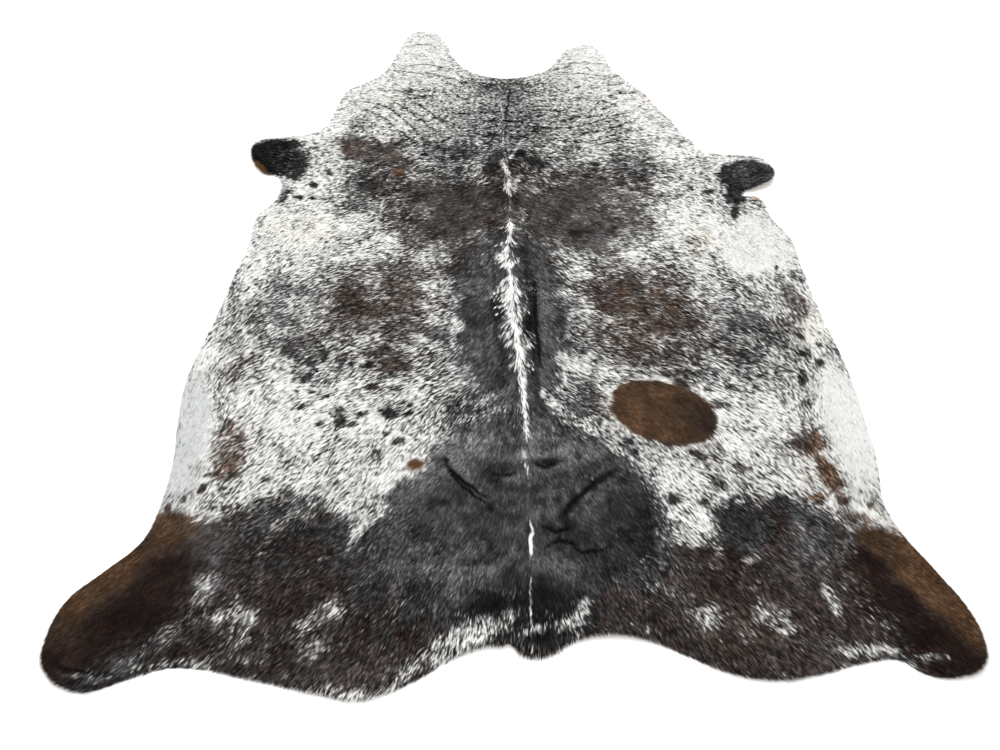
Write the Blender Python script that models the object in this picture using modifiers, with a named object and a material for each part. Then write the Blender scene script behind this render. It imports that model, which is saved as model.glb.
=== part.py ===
"""Cowhide rug: one whole hair-on hide of a cow, spread flat on the floor, hair side up.

The hide is a single thin sheet. Its outline is a smooth closed curve through named landmarks,
and its height above the floor is a sum of low swells, creases and lifted rims.
+Y points along the spine to the neck and +X to the hide's right side as seen from the tail.
Positions in the tables are measured from a point on the floor under the middle of the back.
The finished hide is then set with the middle of its length and width on the origin.
"""

from collections import namedtuple
import math

import bmesh
import bpy
from mathutils import Vector
from mathutils.kdtree import KDTree

# Driving dimensions, in metres.
SHEET_THICKNESS = 0.003  # tanned hide with the pressed-down roots of the coat
CURVE_STEPS = 4  # straight steps of the cut edge between two landmarks
RIM_BAND = 0.010  # even band of faces that follows the cut edge
CELL = 0.052  # spacing of the sheet's rows over its open areas
CURL_CELL = 0.018  # spacing at the curled rims of the armpits
CREASE_ROW = 0.012  # spacing of the rows that run along a crease
CREASE_STEP = 0.036  # spacing of the rows that run across it
CREASE_MARGIN = 0.012  # how far the fine rows run past a crease
SNAP = 0.0035  # a row closer than this to a corner goes through it
RIM_ROLL = 0.070  # how far in from the cut edge a lifted rim starts to rise
BEND_STEPS = 12  # straight steps of a crease's bent line
MERGE_DISTANCE = 0.0001  # corners closer than this are one corner
X_AXIS = Vector((1.0, 0.0, 0.0))
Y_AXIS = Vector((0.0, 1.0, 0.0))

COAT_COLOUR = (0.115, 0.105, 0.100, 1.0)
COAT_ROUGHNESS = 0.75

# The cut edge, from the neck to the tail. Each row is one landmark on the left side of the hide
# and its counterpart on the right. The hide is not symmetric, so both sides are given.
Landmark = namedtuple("Landmark", "name left_x left_y right_x right_y")
LANDMARKS = [
    Landmark("collar side", -0.115, 0.860, 0.085, 0.855),
    Landmark("collar bend", -0.185, 0.925, 0.140, 0.890),
    Landmark("lobe inner side", -0.220, 1.015, 0.170, 0.945),
    Landmark("lobe inner corner", -0.250, 1.055, 0.215, 0.985),
    Landmark("lobe outer corner", -0.330, 1.060, 0.280, 0.995),
    Landmark("lobe outer side", -0.370, 0.995, 0.320, 0.955),
    Landmark("throat bend", -0.420, 0.865, 0.350, 0.870),
    Landmark("throat", -0.480, 0.810, 0.400, 0.800),
    Landmark("throat bulge", -0.535, 0.765, 0.450, 0.745),
    Landmark("shoulder front", -0.565, 0.675, 0.510, 0.650),
    Landmark("shoulder bend", -0.600, 0.595, 0.570, 0.545),
    Landmark("fore shank root", -0.670, 0.570, 0.640, 0.490),
    Landmark("fore shank front", -0.745, 0.555, 0.715, 0.475),
    Landmark("fore shank front corner", -0.800, 0.540, 0.780, 0.460),
    Landmark("fore shank tip", -0.805, 0.490, 0.805, 0.410),
    Landmark("fore shank back corner", -0.760, 0.405, 0.785, 0.360),
    Landmark("fore shank back", -0.710, 0.390, 0.745, 0.340),
    Landmark("armpit", -0.690, 0.340, 0.695, 0.320),
    Landmark("armpit back", -0.705, 0.285, 0.745, 0.295),
    Landmark("chest corner", -0.750, 0.240, 0.765, 0.235),
    Landmark("chest", -0.755, 0.135, 0.815, 0.150),
    Landmark("girth", -0.780, 0.015, 0.820, 0.060),
    Landmark("belly front", -0.810, -0.140, 0.845, -0.105),
    Landmark("belly middle", -0.845, -0.300, 0.880, -0.285),
    Landmark("belly back", -0.845, -0.450, 0.890, -0.445),
    Landmark("flank", -0.835, -0.555, 0.895, -0.560),
    Landmark("flank bend", -0.840, -0.655, 0.885, -0.645),
    Landmark("thigh", -0.860, -0.750, 0.905, -0.730),
    Landmark("hock", -0.930, -0.820, 0.965, -0.825),
    Landmark("hind shank front", -1.005, -0.890, 1.010, -0.900),
    Landmark("hind shank tip", -1.020, -0.980, 1.020, -0.965),
    Landmark("hind shank tip end", -1.005, -1.030, 1.005, -1.020),
    Landmark("hind shank back corner", -0.925, -1.075, 0.950, -1.045),
    Landmark("hind shank back", -0.855, -1.060, 0.880, -1.040),
    Landmark("hind shank hollow", -0.785, -1.035, 0.830, -1.010),
    Landmark("thigh back", -0.680, -1.030, 0.750, -1.015),
    Landmark("buttock side", -0.555, -1.050, 0.645, -1.040),
    Landmark("buttock", -0.400, -1.080, 0.550, -1.050),
    Landmark("buttock low", -0.325, -1.090, 0.455, -1.035),
    Landmark("seat", -0.220, -1.055, 0.370, -1.000),
    Landmark("tail side", -0.130, -1.005, 0.280, -0.965),
    Landmark("tail root", -0.060, -0.980, 0.170, -0.960),
    Landmark("tail hollow", 0.000, -0.985, 0.100, -0.980),
]
NECK = (0.000, 0.835)
TAIL = (0.050, -1.000)

# Low rises of the hide, each over an oval of its own: the half length runs along the turn,
# counted from +X, and the height is at the middle. Past the oval the hide lies on the floor.
Swell = namedtuple("Swell", "name x y half_length half_width turn_deg height")
SWELLS = [
    Swell("neck middle", 0.00, 0.70, 0.24, 0.10, 0, 0.006),
    Swell("left neck lobe", -0.29, 0.95, 0.17, 0.09, 110, 0.010),
    Swell("right neck lobe", 0.25, 0.89, 0.15, 0.08, 70, 0.009),
    Swell("left throat", -0.42, 0.68, 0.16, 0.08, 35, 0.006),
    Swell("right throat", 0.40, 0.63, 0.16, 0.08, 145, 0.006),
    Swell("withers", 0.01, 0.36, 0.30, 0.09, 90, 0.007),
    Swell("left shoulder", -0.40, 0.36, 0.24, 0.13, 25, 0.010),
    Swell("right shoulder", 0.41, 0.33, 0.24, 0.13, 160, 0.009),
    Swell("left fore shank", -0.73, 0.47, 0.17, 0.075, 10, 0.014),
    Swell("right fore shank", 0.73, 0.40, 0.17, 0.070, 168, 0.018),
    Swell("left ribs", -0.36, -0.16, 0.22, 0.10, 70, 0.006),
    Swell("right ribs", 0.38, -0.10, 0.22, 0.10, 105, 0.006),
    Swell("left belly", -0.70, -0.18, 0.24, 0.08, 100, 0.008),
    Swell("right belly", 0.75, -0.14, 0.24, 0.08, 78, 0.009),
    Swell("left flank", -0.70, -0.55, 0.15, 0.10, 60, 0.007),
    Swell("right flank", 0.76, -0.54, 0.15, 0.09, 120, 0.008),
    Swell("left rump", -0.13, -0.56, 0.17, 0.13, 130, 0.008),
    Swell("right rump", 0.18, -0.57, 0.19, 0.14, 40, 0.012),
    Swell("tail ridge", 0.04, -0.86, 0.15, 0.06, 90, 0.007),
    Swell("left thigh", -0.46, -0.86, 0.26, 0.11, 15, 0.009),
    Swell("right thigh", 0.50, -0.83, 0.26, 0.11, 165, 0.009),
    Swell("left hind shank", -0.93, -0.94, 0.20, 0.095, 45, 0.016),
    Swell("right hind shank", 0.93, -0.93, 0.20, 0.095, 132, 0.017),
]

# Creases of the hide, each along a bent line through a start, a middle and an end. A raised
# wrinkle follows the line, and a trough as wide runs beside it, to the right of its direction.
Crease = namedtuple("Crease", "name x1 y1 x2 y2 x3 y3 half_width ridge trough")
CREASES = [
    Crease("left rump", -0.045, -0.685, -0.130, -0.610, -0.180, -0.520, 0.024, 0.009, 0.005),
    Crease("right rump", 0.105, -0.670, 0.150, -0.600, 0.250, -0.535, 0.030, 0.013, 0.009),
    Crease("spine", 0.030, -0.545, 0.075, -0.550, 0.125, -0.540, 0.020, 0.005, 0.003),
    Crease("upper tail", 0.065, -0.770, 0.120, -0.750, 0.165, -0.725, 0.020, 0.006, 0.003),
    Crease("lower tail", 0.150, -0.780, 0.200, -0.765, 0.240, -0.750, 0.020, 0.005, 0.002),
    Crease("left neck", -0.500, 0.745, -0.420, 0.700, -0.330, 0.620, 0.022, 0.004, 0.001),
    Crease("right collar", 0.220, 0.590, 0.300, 0.620, 0.385, 0.655, 0.022, 0.004, 0.001),
]

# Stretches of the cut edge that stand off the floor: the middle of the stretch, how far it
# reaches along the edge, and the height of the edge there.
Lift = namedtuple("Lift", "name x y reach height")
LIFTS = [
    Lift("left lobe rim", -0.29, 1.08, 0.14, 0.007),
    Lift("right lobe rim", 0.24, 1.00, 0.12, 0.006),
    Lift("left collar rim", -0.20, 0.97, 0.12, 0.006),
    Lift("right throat rim", 0.40, 0.80, 0.16, 0.010),
    Lift("left throat rim", -0.54, 0.75, 0.14, 0.007),
    Lift("left fore shank rim", -0.79, 0.45, 0.12, 0.008),
    Lift("right fore shank rim", 0.75, 0.46, 0.12, 0.008),
    Lift("right fore shank back rim", 0.76, 0.35, 0.08, 0.016),
    Lift("right armpit curl", 0.74, 0.27, 0.07, 0.014),
    Lift("left armpit curl", -0.70, 0.32, 0.08, 0.012),
    Lift("left girth rim", -0.77, 0.06, 0.16, 0.006),
    Lift("right girth rim", 0.82, 0.03, 0.16, 0.007),
    Lift("left belly rim", -0.85, -0.36, 0.18, 0.006),
    Lift("right belly rim", 0.89, -0.42, 0.20, 0.007),
    Lift("left hock rim", -0.89, -0.78, 0.14, 0.008),
    Lift("right hock rim", 0.93, -0.78, 0.14, 0.008),
    Lift("left hind tip rim", -0.99, -1.05, 0.14, 0.009),
    Lift("right hind tip rim", 1.00, -1.03, 0.14, 0.009),
    Lift("left buttock rim", -0.38, -1.08, 0.22, 0.006),
    Lift("left tail rim", -0.06, -0.98, 0.12, 0.009),
    Lift("right tail rim", 0.21, -0.96, 0.14, 0.012),
    Lift("right buttock rim", 0.55, -1.05, 0.20, 0.006),
]


def clear_scene():
    for obj in list(bpy.data.objects):
        bpy.data.objects.remove(obj, do_unlink=True)


def hide_collection():
    """The collection that holds the rug."""
    collection = bpy.data.collections.new("cowhide_rug")
    bpy.context.scene.collection.children.link(collection)
    return collection


def edge_points():
    """The landmarks in order: from the neck down the left side to the tail and up the right."""
    left = [(mark.left_x, mark.left_y) for mark in LANDMARKS]
    right = [(mark.right_x, mark.right_y) for mark in reversed(LANDMARKS)]
    return [NECK] + left + [TAIL] + right


def filled_outline(collection):
    """The flat shape inside a smooth closed curve through the landmarks."""
    curve = bpy.data.curves.new("cut_edge", "CURVE")
    curve.dimensions = "2D"
    curve.fill_mode = "BOTH"
    curve.resolution_u = CURVE_STEPS
    points = edge_points()
    spline = curve.splines.new("BEZIER")
    spline.bezier_points.add(len(points) - 1)
    spline.use_cyclic_u = True
    for knot, (x, y) in zip(spline.bezier_points, points):
        knot.co = (x, y, 0.0)
        knot.handle_left_type = "AUTO"
        knot.handle_right_type = "AUTO"
    guide = bpy.data.objects.new("cut_edge", curve)
    collection.objects.link(guide)
    depsgraph = bpy.context.evaluated_depsgraph_get()
    mesh = bpy.data.meshes.new_from_object(guide.evaluated_get(depsgraph))
    bpy.data.objects.remove(guide, do_unlink=True)
    mesh.name = "hide"
    return mesh


def one_face(bm):
    """Join the filled outline into a single upward face and return it."""
    bmesh.ops.remove_doubles(bm, verts=bm.verts, dist=MERGE_DISTANCE)
    bmesh.ops.dissolve_faces(bm, faces=bm.faces)
    bm.faces.ensure_lookup_table()
    face = bm.faces[0]
    if face.normal.z < 0.0:
        face.normal_flip()
    return face


def cut_rows(bm, faces, axis, spacing):
    """Cut rows of edges square to an axis through the faces, and return the smaller faces."""
    reach = [axis.dot(vert.co) for face in faces for vert in face.verts]
    first = math.floor(min(reach) / spacing)
    last = math.ceil(max(reach) / spacing)
    for step in range(first, last + 1):
        edges = {edge for face in faces for edge in face.edges}
        verts = {vert for face in faces for vert in face.verts}
        cut = bmesh.ops.bisect_plane(
            bm, geom=list(verts) + list(edges) + list(faces), dist=SNAP,
            plane_co=axis * (step * spacing), plane_no=axis)
        faces = [item for item in cut["geom"] if isinstance(item, bmesh.types.BMFace)]
    return faces


def bend_line(crease):
    """The crease's bent line as short steps: an arc of a parabola through its three points."""
    start = Vector((crease.x1, crease.y1))
    middle = Vector((crease.x2, crease.y2))
    end = Vector((crease.x3, crease.y3))
    control = 2.0 * middle - 0.5 * (start + end)
    line = []
    for step in range(BEND_STEPS + 1):
        t = step / BEND_STEPS
        line.append((1.0 - t) ** 2 * start + 2.0 * t * (1.0 - t) * control + t ** 2 * end)
    return line


def along_and_off(point, line):
    """Where a point falls along a bent line, from 0 to 1, and how far off it is.

    The distance is positive to the right of the line's direction and negative to its left.
    """
    along = 0.0
    off = math.inf
    for index in range(len(line) - 1):
        start = line[index]
        span = line[index + 1] - start
        share = max(0.0, min(1.0, (point - start).dot(span) / span.length_squared))
        gap = point - start - share * span
        if gap.length < abs(off):
            off = math.copysign(gap.length, gap.cross(span))
            along = (index + share) / (len(line) - 1)
    return along, off


def hump(share):
    """A smooth bump: 1 at the middle, 0 with no kink at a share of 1 and past it."""
    if abs(share) >= 1.0:
        return 0.0
    return (1.0 - share * share) ** 2


def swell_height(point):
    total = 0.0
    for swell in SWELLS:
        turn = math.radians(swell.turn_deg)
        dx = point.x - swell.x
        dy = point.y - swell.y
        along = (dx * math.cos(turn) + dy * math.sin(turn)) / swell.half_length
        across = (dy * math.cos(turn) - dx * math.sin(turn)) / swell.half_width
        total += swell.height * hump(math.hypot(along, across))
    return total


def crease_height(point, lines):
    total = 0.0
    for crease, line in zip(CREASES, lines):
        along, off = along_and_off(point, line)
        fade = 1.0 - (2.0 * along - 1.0) ** 4
        ridge = crease.ridge * hump(off / crease.half_width)
        trough = crease.trough * hump(off / crease.half_width - 1.0)
        total += (ridge - trough) * fade
    return total


def lift_height(point, edge):
    """The rise of the nearest stretch of cut edge, fading in from the rim."""
    nearest, _, off = edge.find(point.to_3d())
    if off >= RIM_ROLL:
        return 0.0
    total = 0.0
    for lift in LIFTS:
        away = math.hypot(nearest.x - lift.x, nearest.y - lift.y)
        total += lift.height * hump(away / lift.reach)
    return total * (1.0 - off / RIM_ROLL) ** 2


def cut_edge_tree(bm):
    """A search tree over the corners of the cut edge."""
    corners = [vert.co.copy() for vert in bm.verts if vert.is_boundary]
    tree = KDTree(len(corners))
    for index, corner in enumerate(corners):
        tree.insert(corner, index)
    tree.balance()
    return tree


def near_crease(face, crease, line):
    off = along_and_off(face.calc_center_median().to_2d(), line)[1]
    return -crease.half_width - CREASE_MARGIN < off < 2.0 * crease.half_width + CREASE_MARGIN


def near_curl(face):
    centre = face.calc_center_median()
    for lift in LIFTS:
        if "armpit" in lift.name and math.hypot(centre.x - lift.x, centre.y - lift.y) < lift.reach:
            return True
    return False


def cut_faces(bm, middle, lines):
    """Cut the hide's middle into rows of faces, finer along the creases and at the curls."""
    faces = cut_rows(bm, [middle], X_AXIS, CELL)
    faces = cut_rows(bm, faces, Y_AXIS, CELL)
    curls = [face for face in faces if near_curl(face)]
    curls = cut_rows(bm, curls, X_AXIS, CURL_CELL)
    cut_rows(bm, curls, Y_AXIS, CURL_CELL)
    for crease, line in zip(CREASES, lines):
        along = (line[-1] - line[0]).normalized().to_3d()
        across = Vector((along.y, -along.x, 0.0))
        inner = [face for face in bm.faces if not any(edge.is_boundary for edge in face.edges)]
        near = [face for face in inner if near_crease(face, crease, line)]
        near = cut_rows(bm, near, across, CREASE_ROW)
        cut_rows(bm, near, along, CREASE_STEP)


def centre_on_origin(bm):
    """Move the hide so that the middle of its length and width is on the origin."""
    xs = [vert.co.x for vert in bm.verts]
    ys = [vert.co.y for vert in bm.verts]
    middle = Vector((min(xs) + max(xs), min(ys) + max(ys), 0.0)) / 2.0
    bmesh.ops.translate(bm, verts=bm.verts, vec=-middle)


def hide_surface(mesh):
    """Turn the filled outline into the hide's underside, with its rows of faces and its height."""
    bm = bmesh.new()
    bm.from_mesh(mesh)
    middle = one_face(bm)
    bmesh.ops.inset_region(
        bm, faces=[middle], thickness=RIM_BAND, use_even_offset=True, use_boundary=True)
    lines = [bend_line(crease) for crease in CREASES]
    cut_faces(bm, middle, lines)
    bmesh.ops.triangulate(bm, faces=bm.faces, quad_method="BEAUTY", ngon_method="BEAUTY")
    edge = cut_edge_tree(bm)
    for vert in bm.verts:
        point = vert.co.to_2d()
        lying = max(0.0, swell_height(point) + crease_height(point, lines))
        vert.co.z = lying + lift_height(point, edge)
    centre_on_origin(bm)
    bm.to_mesh(mesh)
    bm.free()


def coat_material():
    material = bpy.data.materials.new("speckled hair-on hide")
    material.use_nodes = True
    shader = material.node_tree.nodes["Principled BSDF"]
    shader.inputs["Base Color"].default_value = COAT_COLOUR
    shader.inputs["Roughness"].default_value = COAT_ROUGHNESS
    shader.inputs["Metallic"].default_value = 0.0
    return material


def make_cowhide(collection):
    """The whole hide: its underside, thickened upwards into a sheet."""
    mesh = filled_outline(collection)
    hide_surface(mesh)
    mesh.materials.clear()
    mesh.materials.append(coat_material())
    mesh.shade_smooth()
    hide = bpy.data.objects.new("cowhide", mesh)
    collection.objects.link(hide)
    sheet = hide.modifiers.new("hide thickness", "SOLIDIFY")
    sheet.thickness = SHEET_THICKNESS
    sheet.offset = 1.0
    sheet.use_even_offset = True
    return hide


clear_scene()
make_cowhide(hide_collection())
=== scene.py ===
"""Cowhide rug, hair side up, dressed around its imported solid.

The tanned hide is a thin sheet on the solid's folds, with finer wrinkles. Its coat is some 850,000
small locks of hair that lie as a cow's coat lies: outwards from the spine and towards the tail. Which
hairs are dark, brown, cold or cream is painted in ovals with wandering edges, and the speckle
between them is noise, so the sheet and each lock on it agree.
Sizes are in metres, and in the rows of the tables in millimetres. +Y runs along the spine to the
neck, and +X to the right side seen from the tail.
"""

from collections import namedtuple
import math

import bmesh
import bpy
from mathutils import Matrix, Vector
from mathutils.bvhtree import BVHTree
from mathutils.kdtree import KDTree
import numpy as np


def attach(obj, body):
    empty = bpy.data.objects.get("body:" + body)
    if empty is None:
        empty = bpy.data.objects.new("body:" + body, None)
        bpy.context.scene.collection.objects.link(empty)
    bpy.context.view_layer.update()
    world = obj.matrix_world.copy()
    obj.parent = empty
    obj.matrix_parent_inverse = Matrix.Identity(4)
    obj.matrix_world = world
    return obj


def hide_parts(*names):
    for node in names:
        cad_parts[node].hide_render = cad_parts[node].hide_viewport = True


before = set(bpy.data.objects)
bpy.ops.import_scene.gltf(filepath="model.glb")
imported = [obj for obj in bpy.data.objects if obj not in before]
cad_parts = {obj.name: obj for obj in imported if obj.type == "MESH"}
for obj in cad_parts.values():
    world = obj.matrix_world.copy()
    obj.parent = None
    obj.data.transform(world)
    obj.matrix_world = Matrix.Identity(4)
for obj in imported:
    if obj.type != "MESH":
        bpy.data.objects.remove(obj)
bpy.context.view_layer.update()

# The sheet.
MERGE_DISTANCE = 0.0001  # the solid's mesh comes as loose triangles
UPWARD = 0.35  # a face whose normal rises more than this is on the hair side
DOWN = (0.0, 0.0, -1.0)
FINE_CUTS = 3  # extra cuts of an edge where the hide is finely wrinkled
FINE_EDGE = 0.024  # edges longer than this are cut there
FINE_NECK = 0.52  # the neck is finely wrinkled past here
FINE_RUMP = (0.03, 0.27, -0.80, -0.48)  # and the rump here: its middle, half its width, its ends
LEVEL = 0.8  # wrinkles sink only where the normal rises more than this
LEAST_HEIGHT = 0.0022  # and no lower than this over the floor
RIM_WIDTH = 0.006  # past the cut edge there is no hide for at least this far
LEATHER, SUEDE = 1, 2  # where these come in the hide's list of materials
MAP_MARGIN = 1.02  # the bake map is this much larger than the sheet
MIDDLING_HAIR = (0.5, 0.2, 0.5)  # what the sheet shows as chance, along and across between locks

# The hair.
SEED = 20
COAT_PIECES = 5
LOCKS_PER_SQUARE_METRE = 281000
PLASTIC_STEPS = (0.7548776662, 0.5698402910)  # steps that spread points evenly over a face
LOCK_SPOTS = np.array(((0.1, 0.1), (0.5, 0.9), (0.9, 0.1)))  # a lock's corners, across and along
LOCK_WIDTH = 0.0018
WIDTH_SPREAD = (0.7, 1.3)  # locks are between these shares of the usual width
LENGTH_SPREAD = (0.75, 1.2)
TUFT_SPREAD = (0.3, 1.0)
LOFT_SPREAD = (0.5, 1.5)  # and their tips rise by these shares of the usual
LIE_SCATTER = 0.06  # how far a lock turns from its neighbours, in radians
ROOT_SINK = 0.0004
TIP_RISE = 0.0030
TUFT_RISE = 90.0  # how much more a tip rises for each metre that its tuft is longer
SLEEK_RISE = 0.45  # how much less it rises where the coat is sleek
ROLL = 0.00045  # how far one side of a lock's root may stand above the other
SPINE_LEAN = 0.045  # how far the parting moves to the right over a metre towards the tail
LEAN_START = 0.1  # it lies on the middle line here
PARTING = 0.012  # how wide the hair turns over at the parting
LIE_SWAY = 0.20  # how far the coat's lie sways, in radians
SMALL_LIE_SWAY = 0.10
FLOOR_GAP = 0.0006
NEAR_RIM = 0.03  # hair is dressed to the rim within this reach
FUZZ_REACH = 0.016  # how far in from the rim the locks differ most in length
FUZZ = 0.6  # how much they differ there
BARE_LEFT = 0.4  # the share of a bare strip that the hair beside it leaves open
BARE_SLACK = 0.002  # but for this much
LEAST_HAIR = 0.003
DROOP = 0.55  # how far hair past the rim hangs for each metre that it reaches
SHORT_HAIR = 0.008  # patches do not show in hair this short
LONG_HAIR = 0.014  # and show in full in hair this long
SEEN_SHARE = 0.8  # a lock shows most near its tip, so it takes its colour from this far along

# Noise: the size of its swells in metres and its seed.
SWAY_SIZE = 5.0  # a sway's swells are this many times as large as it moves a point
FAR_SWAY = ((0.016, 10), (0.006, 20))  # how far points are moved, and the seed
NEAR_SWAY = ((0.004, 30), (0.0022, 32))
WRINKLE_SWAY = ((0.004, 40),)
LINE_WAVES = (0.012, 41)
LINE_GAPS = (0.030, 42)
LIE_SWELLS = (0.040, 50)
SMALL_LIE_SWELLS = (0.011, 51)
PATCHES = (0.050, 60)
SMALL_PATCHES = (0.020, 61)
MIST_AND_SHEEN_SWELLS = (0.045, 62)
SMALL_MIST_AND_SHEEN_SWELLS = (0.018, 63)
BROWN_SWELLS = (0.040, 64)
FINE_SEED, LONG_SEED, TONE_SEED, FEATHER_SEED = 100, 140, 200, 300
NOISE_TILE = 251  # noise repeats after this many swells

# The speckle.
PATCHINESS = 2.2  # how much the odds of a dark hair differ from patch to patch
SMALL_PATCH_SHARE = 0.8
STREAKINESS = 7.8  # how much they differ from streak to streak
SLEEK_CALM = 0.6  # how much less they differ where the coat is sleek
FINE_CALM = 0.15  # where the hair is short
DARK_CALM = 0.25  # and where nearly all of it is dark
FLECK_SIZE = 0.008  # flecks of this size differ in their odds
FLECK_ODDS = 3.0  # by this much
LOCK_ODDS = 2.2  # and so do single locks
STRAND_ODDS = 3.0  # and strands
MIST_AND_SHEEN_PATCHINESS = 0.55  # how much the mist and its painted sheen differ from patch to patch
BROWN_PATCHINESS = 0.14  # and the brown
FINE_STREAKS = 1.20  # how much finer the streaks are where the hair is short
STREAK_TONE = 0.42  # how much lighter or darker one streak is than the next
LOCK_TONE = 0.45  # and one lock
SLEEK_TONE = 0.65  # how much less where the coat is sleek
TONE_CONTRAST = 45.0  # the lightest dark hair is this many times as light as the darkest
MOTTLE_SIZE = 0.030  # dark hair is mottled in swells of this size
STREAK_WIDTH = 0.0026
STREAK_LENGTH = 0.0062
STREAK_TURN_DEG = 15.0  # streaks are drawn in directions this far apart
HALF_DARK_LOOK = 1.45  # a coat that looks half dark has more dark hairs than white, by these odds
LOOK_SLOPE = 1.5
RAREST = 0.005  # the least share of dark or of white hairs

# The feather along the spine.
FEATHER_FADE = 0.016  # how wide its sides fade
FEATHER_EDGE = 0.75  # and how sharply
FEATHER_FULL = 0.015  # a feather with a smaller half width fades more sharply
FEATHER_LEAST = 0.40  # down to this share
FEATHER_RAGS = 1.5  # how ragged its sides are
FEATHER_STREAKS = 0.75  # how fine the streaks at its sides are
FEATHER_END = 0.004  # it fades out where its half width is below this
FEATHER_WHITE = 0.985  # how much of the dark hair it clears away
FEATHER_TONE = 0.15  # how much lighter it is

CAMERA_PLACE = (-0.031, -1.256, 1.720)
CAMERA_PITCH_DEG = 29.2  # from straight down
CAMERA_LENS_MM = 27.04
SENSOR_MM = 36.0
PALE_STUDIO = "#f6f6f5"

# How the coat lies, on both sides of the spine: out from the spine and along it, the turn of the
# hair from straight outwards to the tail, its length, and how far this holds.
Flow = namedtuple("Flow", "out y turn_deg hair reach")
FLOWS = [
    Flow(out / 1000, y / 1000, turn_deg, hair / 1000, reach / 1000)
    for _, out, y, turn_deg, hair, reach in (
        ("collar", 50, 800, 8, 8, 100),
        ("neck lobe", 280, 950, 8, 8, 140),
        ("neck", 220, 720, 6, 9, 140),
        ("throat", 460, 720, 22, 10, 140),
        ("crest", 40, 600, 14, 10, 100),
        ("withers", 50, 420, 44, 13, 100),
        ("shoulder top", 200, 480, 20, 12, 120),
        ("shoulder", 380, 420, 18, 13, 140),
        ("point of shoulder", 560, 500, 20, 12, 100),
        ("fore shank", 740, 440, 2, 11, 80),
        ("armpit", 660, 300, 38, 12, 90),
        ("saddle", 200, 240, 24, 12, 140),
        ("chest side", 450, 180, 28, 14, 140),
        ("chest edge", 700, 140, 58, 11, 100),
        ("back", 50, 50, 62, 15, 100),
        ("front ribs", 300, 0, 20, 14, 140),
        ("outer ribs", 550, -80, 32, 14, 140),
        ("girth edge", 760, -100, 68, 15, 90),
        ("loin", 50, -200, 66, 16, 100),
        ("back ribs", 280, -250, 26, 15, 140),
        ("side", 520, -320, 40, 14, 140),
        ("belly edge", 820, -380, 80, 10, 90),
        ("hip", 220, -500, 55, 12, 120),
        ("flank", 620, -540, 54, 14, 120),
        ("flank edge", 840, -600, 76, 11, 80),
        ("croup", 50, -600, 76, 11, 120),
        ("rump", 220, -720, 62, 11, 140),
        ("thigh", 500, -800, 48, 12, 160),
        ("outer thigh", 700, -800, 50, 12, 100),
        ("hind shank top", 860, -780, 48, 11, 80),
        ("hind shank", 960, -950, 46, 11, 90),
        ("tail", 50, -900, 84, 14, 100),
        ("buttock", 300, -1000, 62, 12, 140),
        ("buttock side", 600, -1000, 58, 12, 120),
    )
]

# Ovals laid over an even ground, each over the ones before it: the half length runs along the
# turn, counted from +X, the share is what is laid, and soft is how wide its edge fades.
Oval = namedtuple("Oval", "x y half_length half_width share soft turn_deg", defaults=(0,))


def ovals(*rows):
    """Ovals from rows of a name, the place and half sizes in millimetres, share, soft and turn."""
    return [Oval(*(size / 1000 for size in row[1:5]), *row[5:]) for row in rows]


def each(name, *rows):
    """Rows that have one name."""
    return [(name, *row) for row in rows]


def spots(name, share, soft, *rows):
    """Rows of ovals that have one name, share and softness."""
    return [(name, *row[:4], share, soft, *row[4:]) for row in rows]


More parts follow.
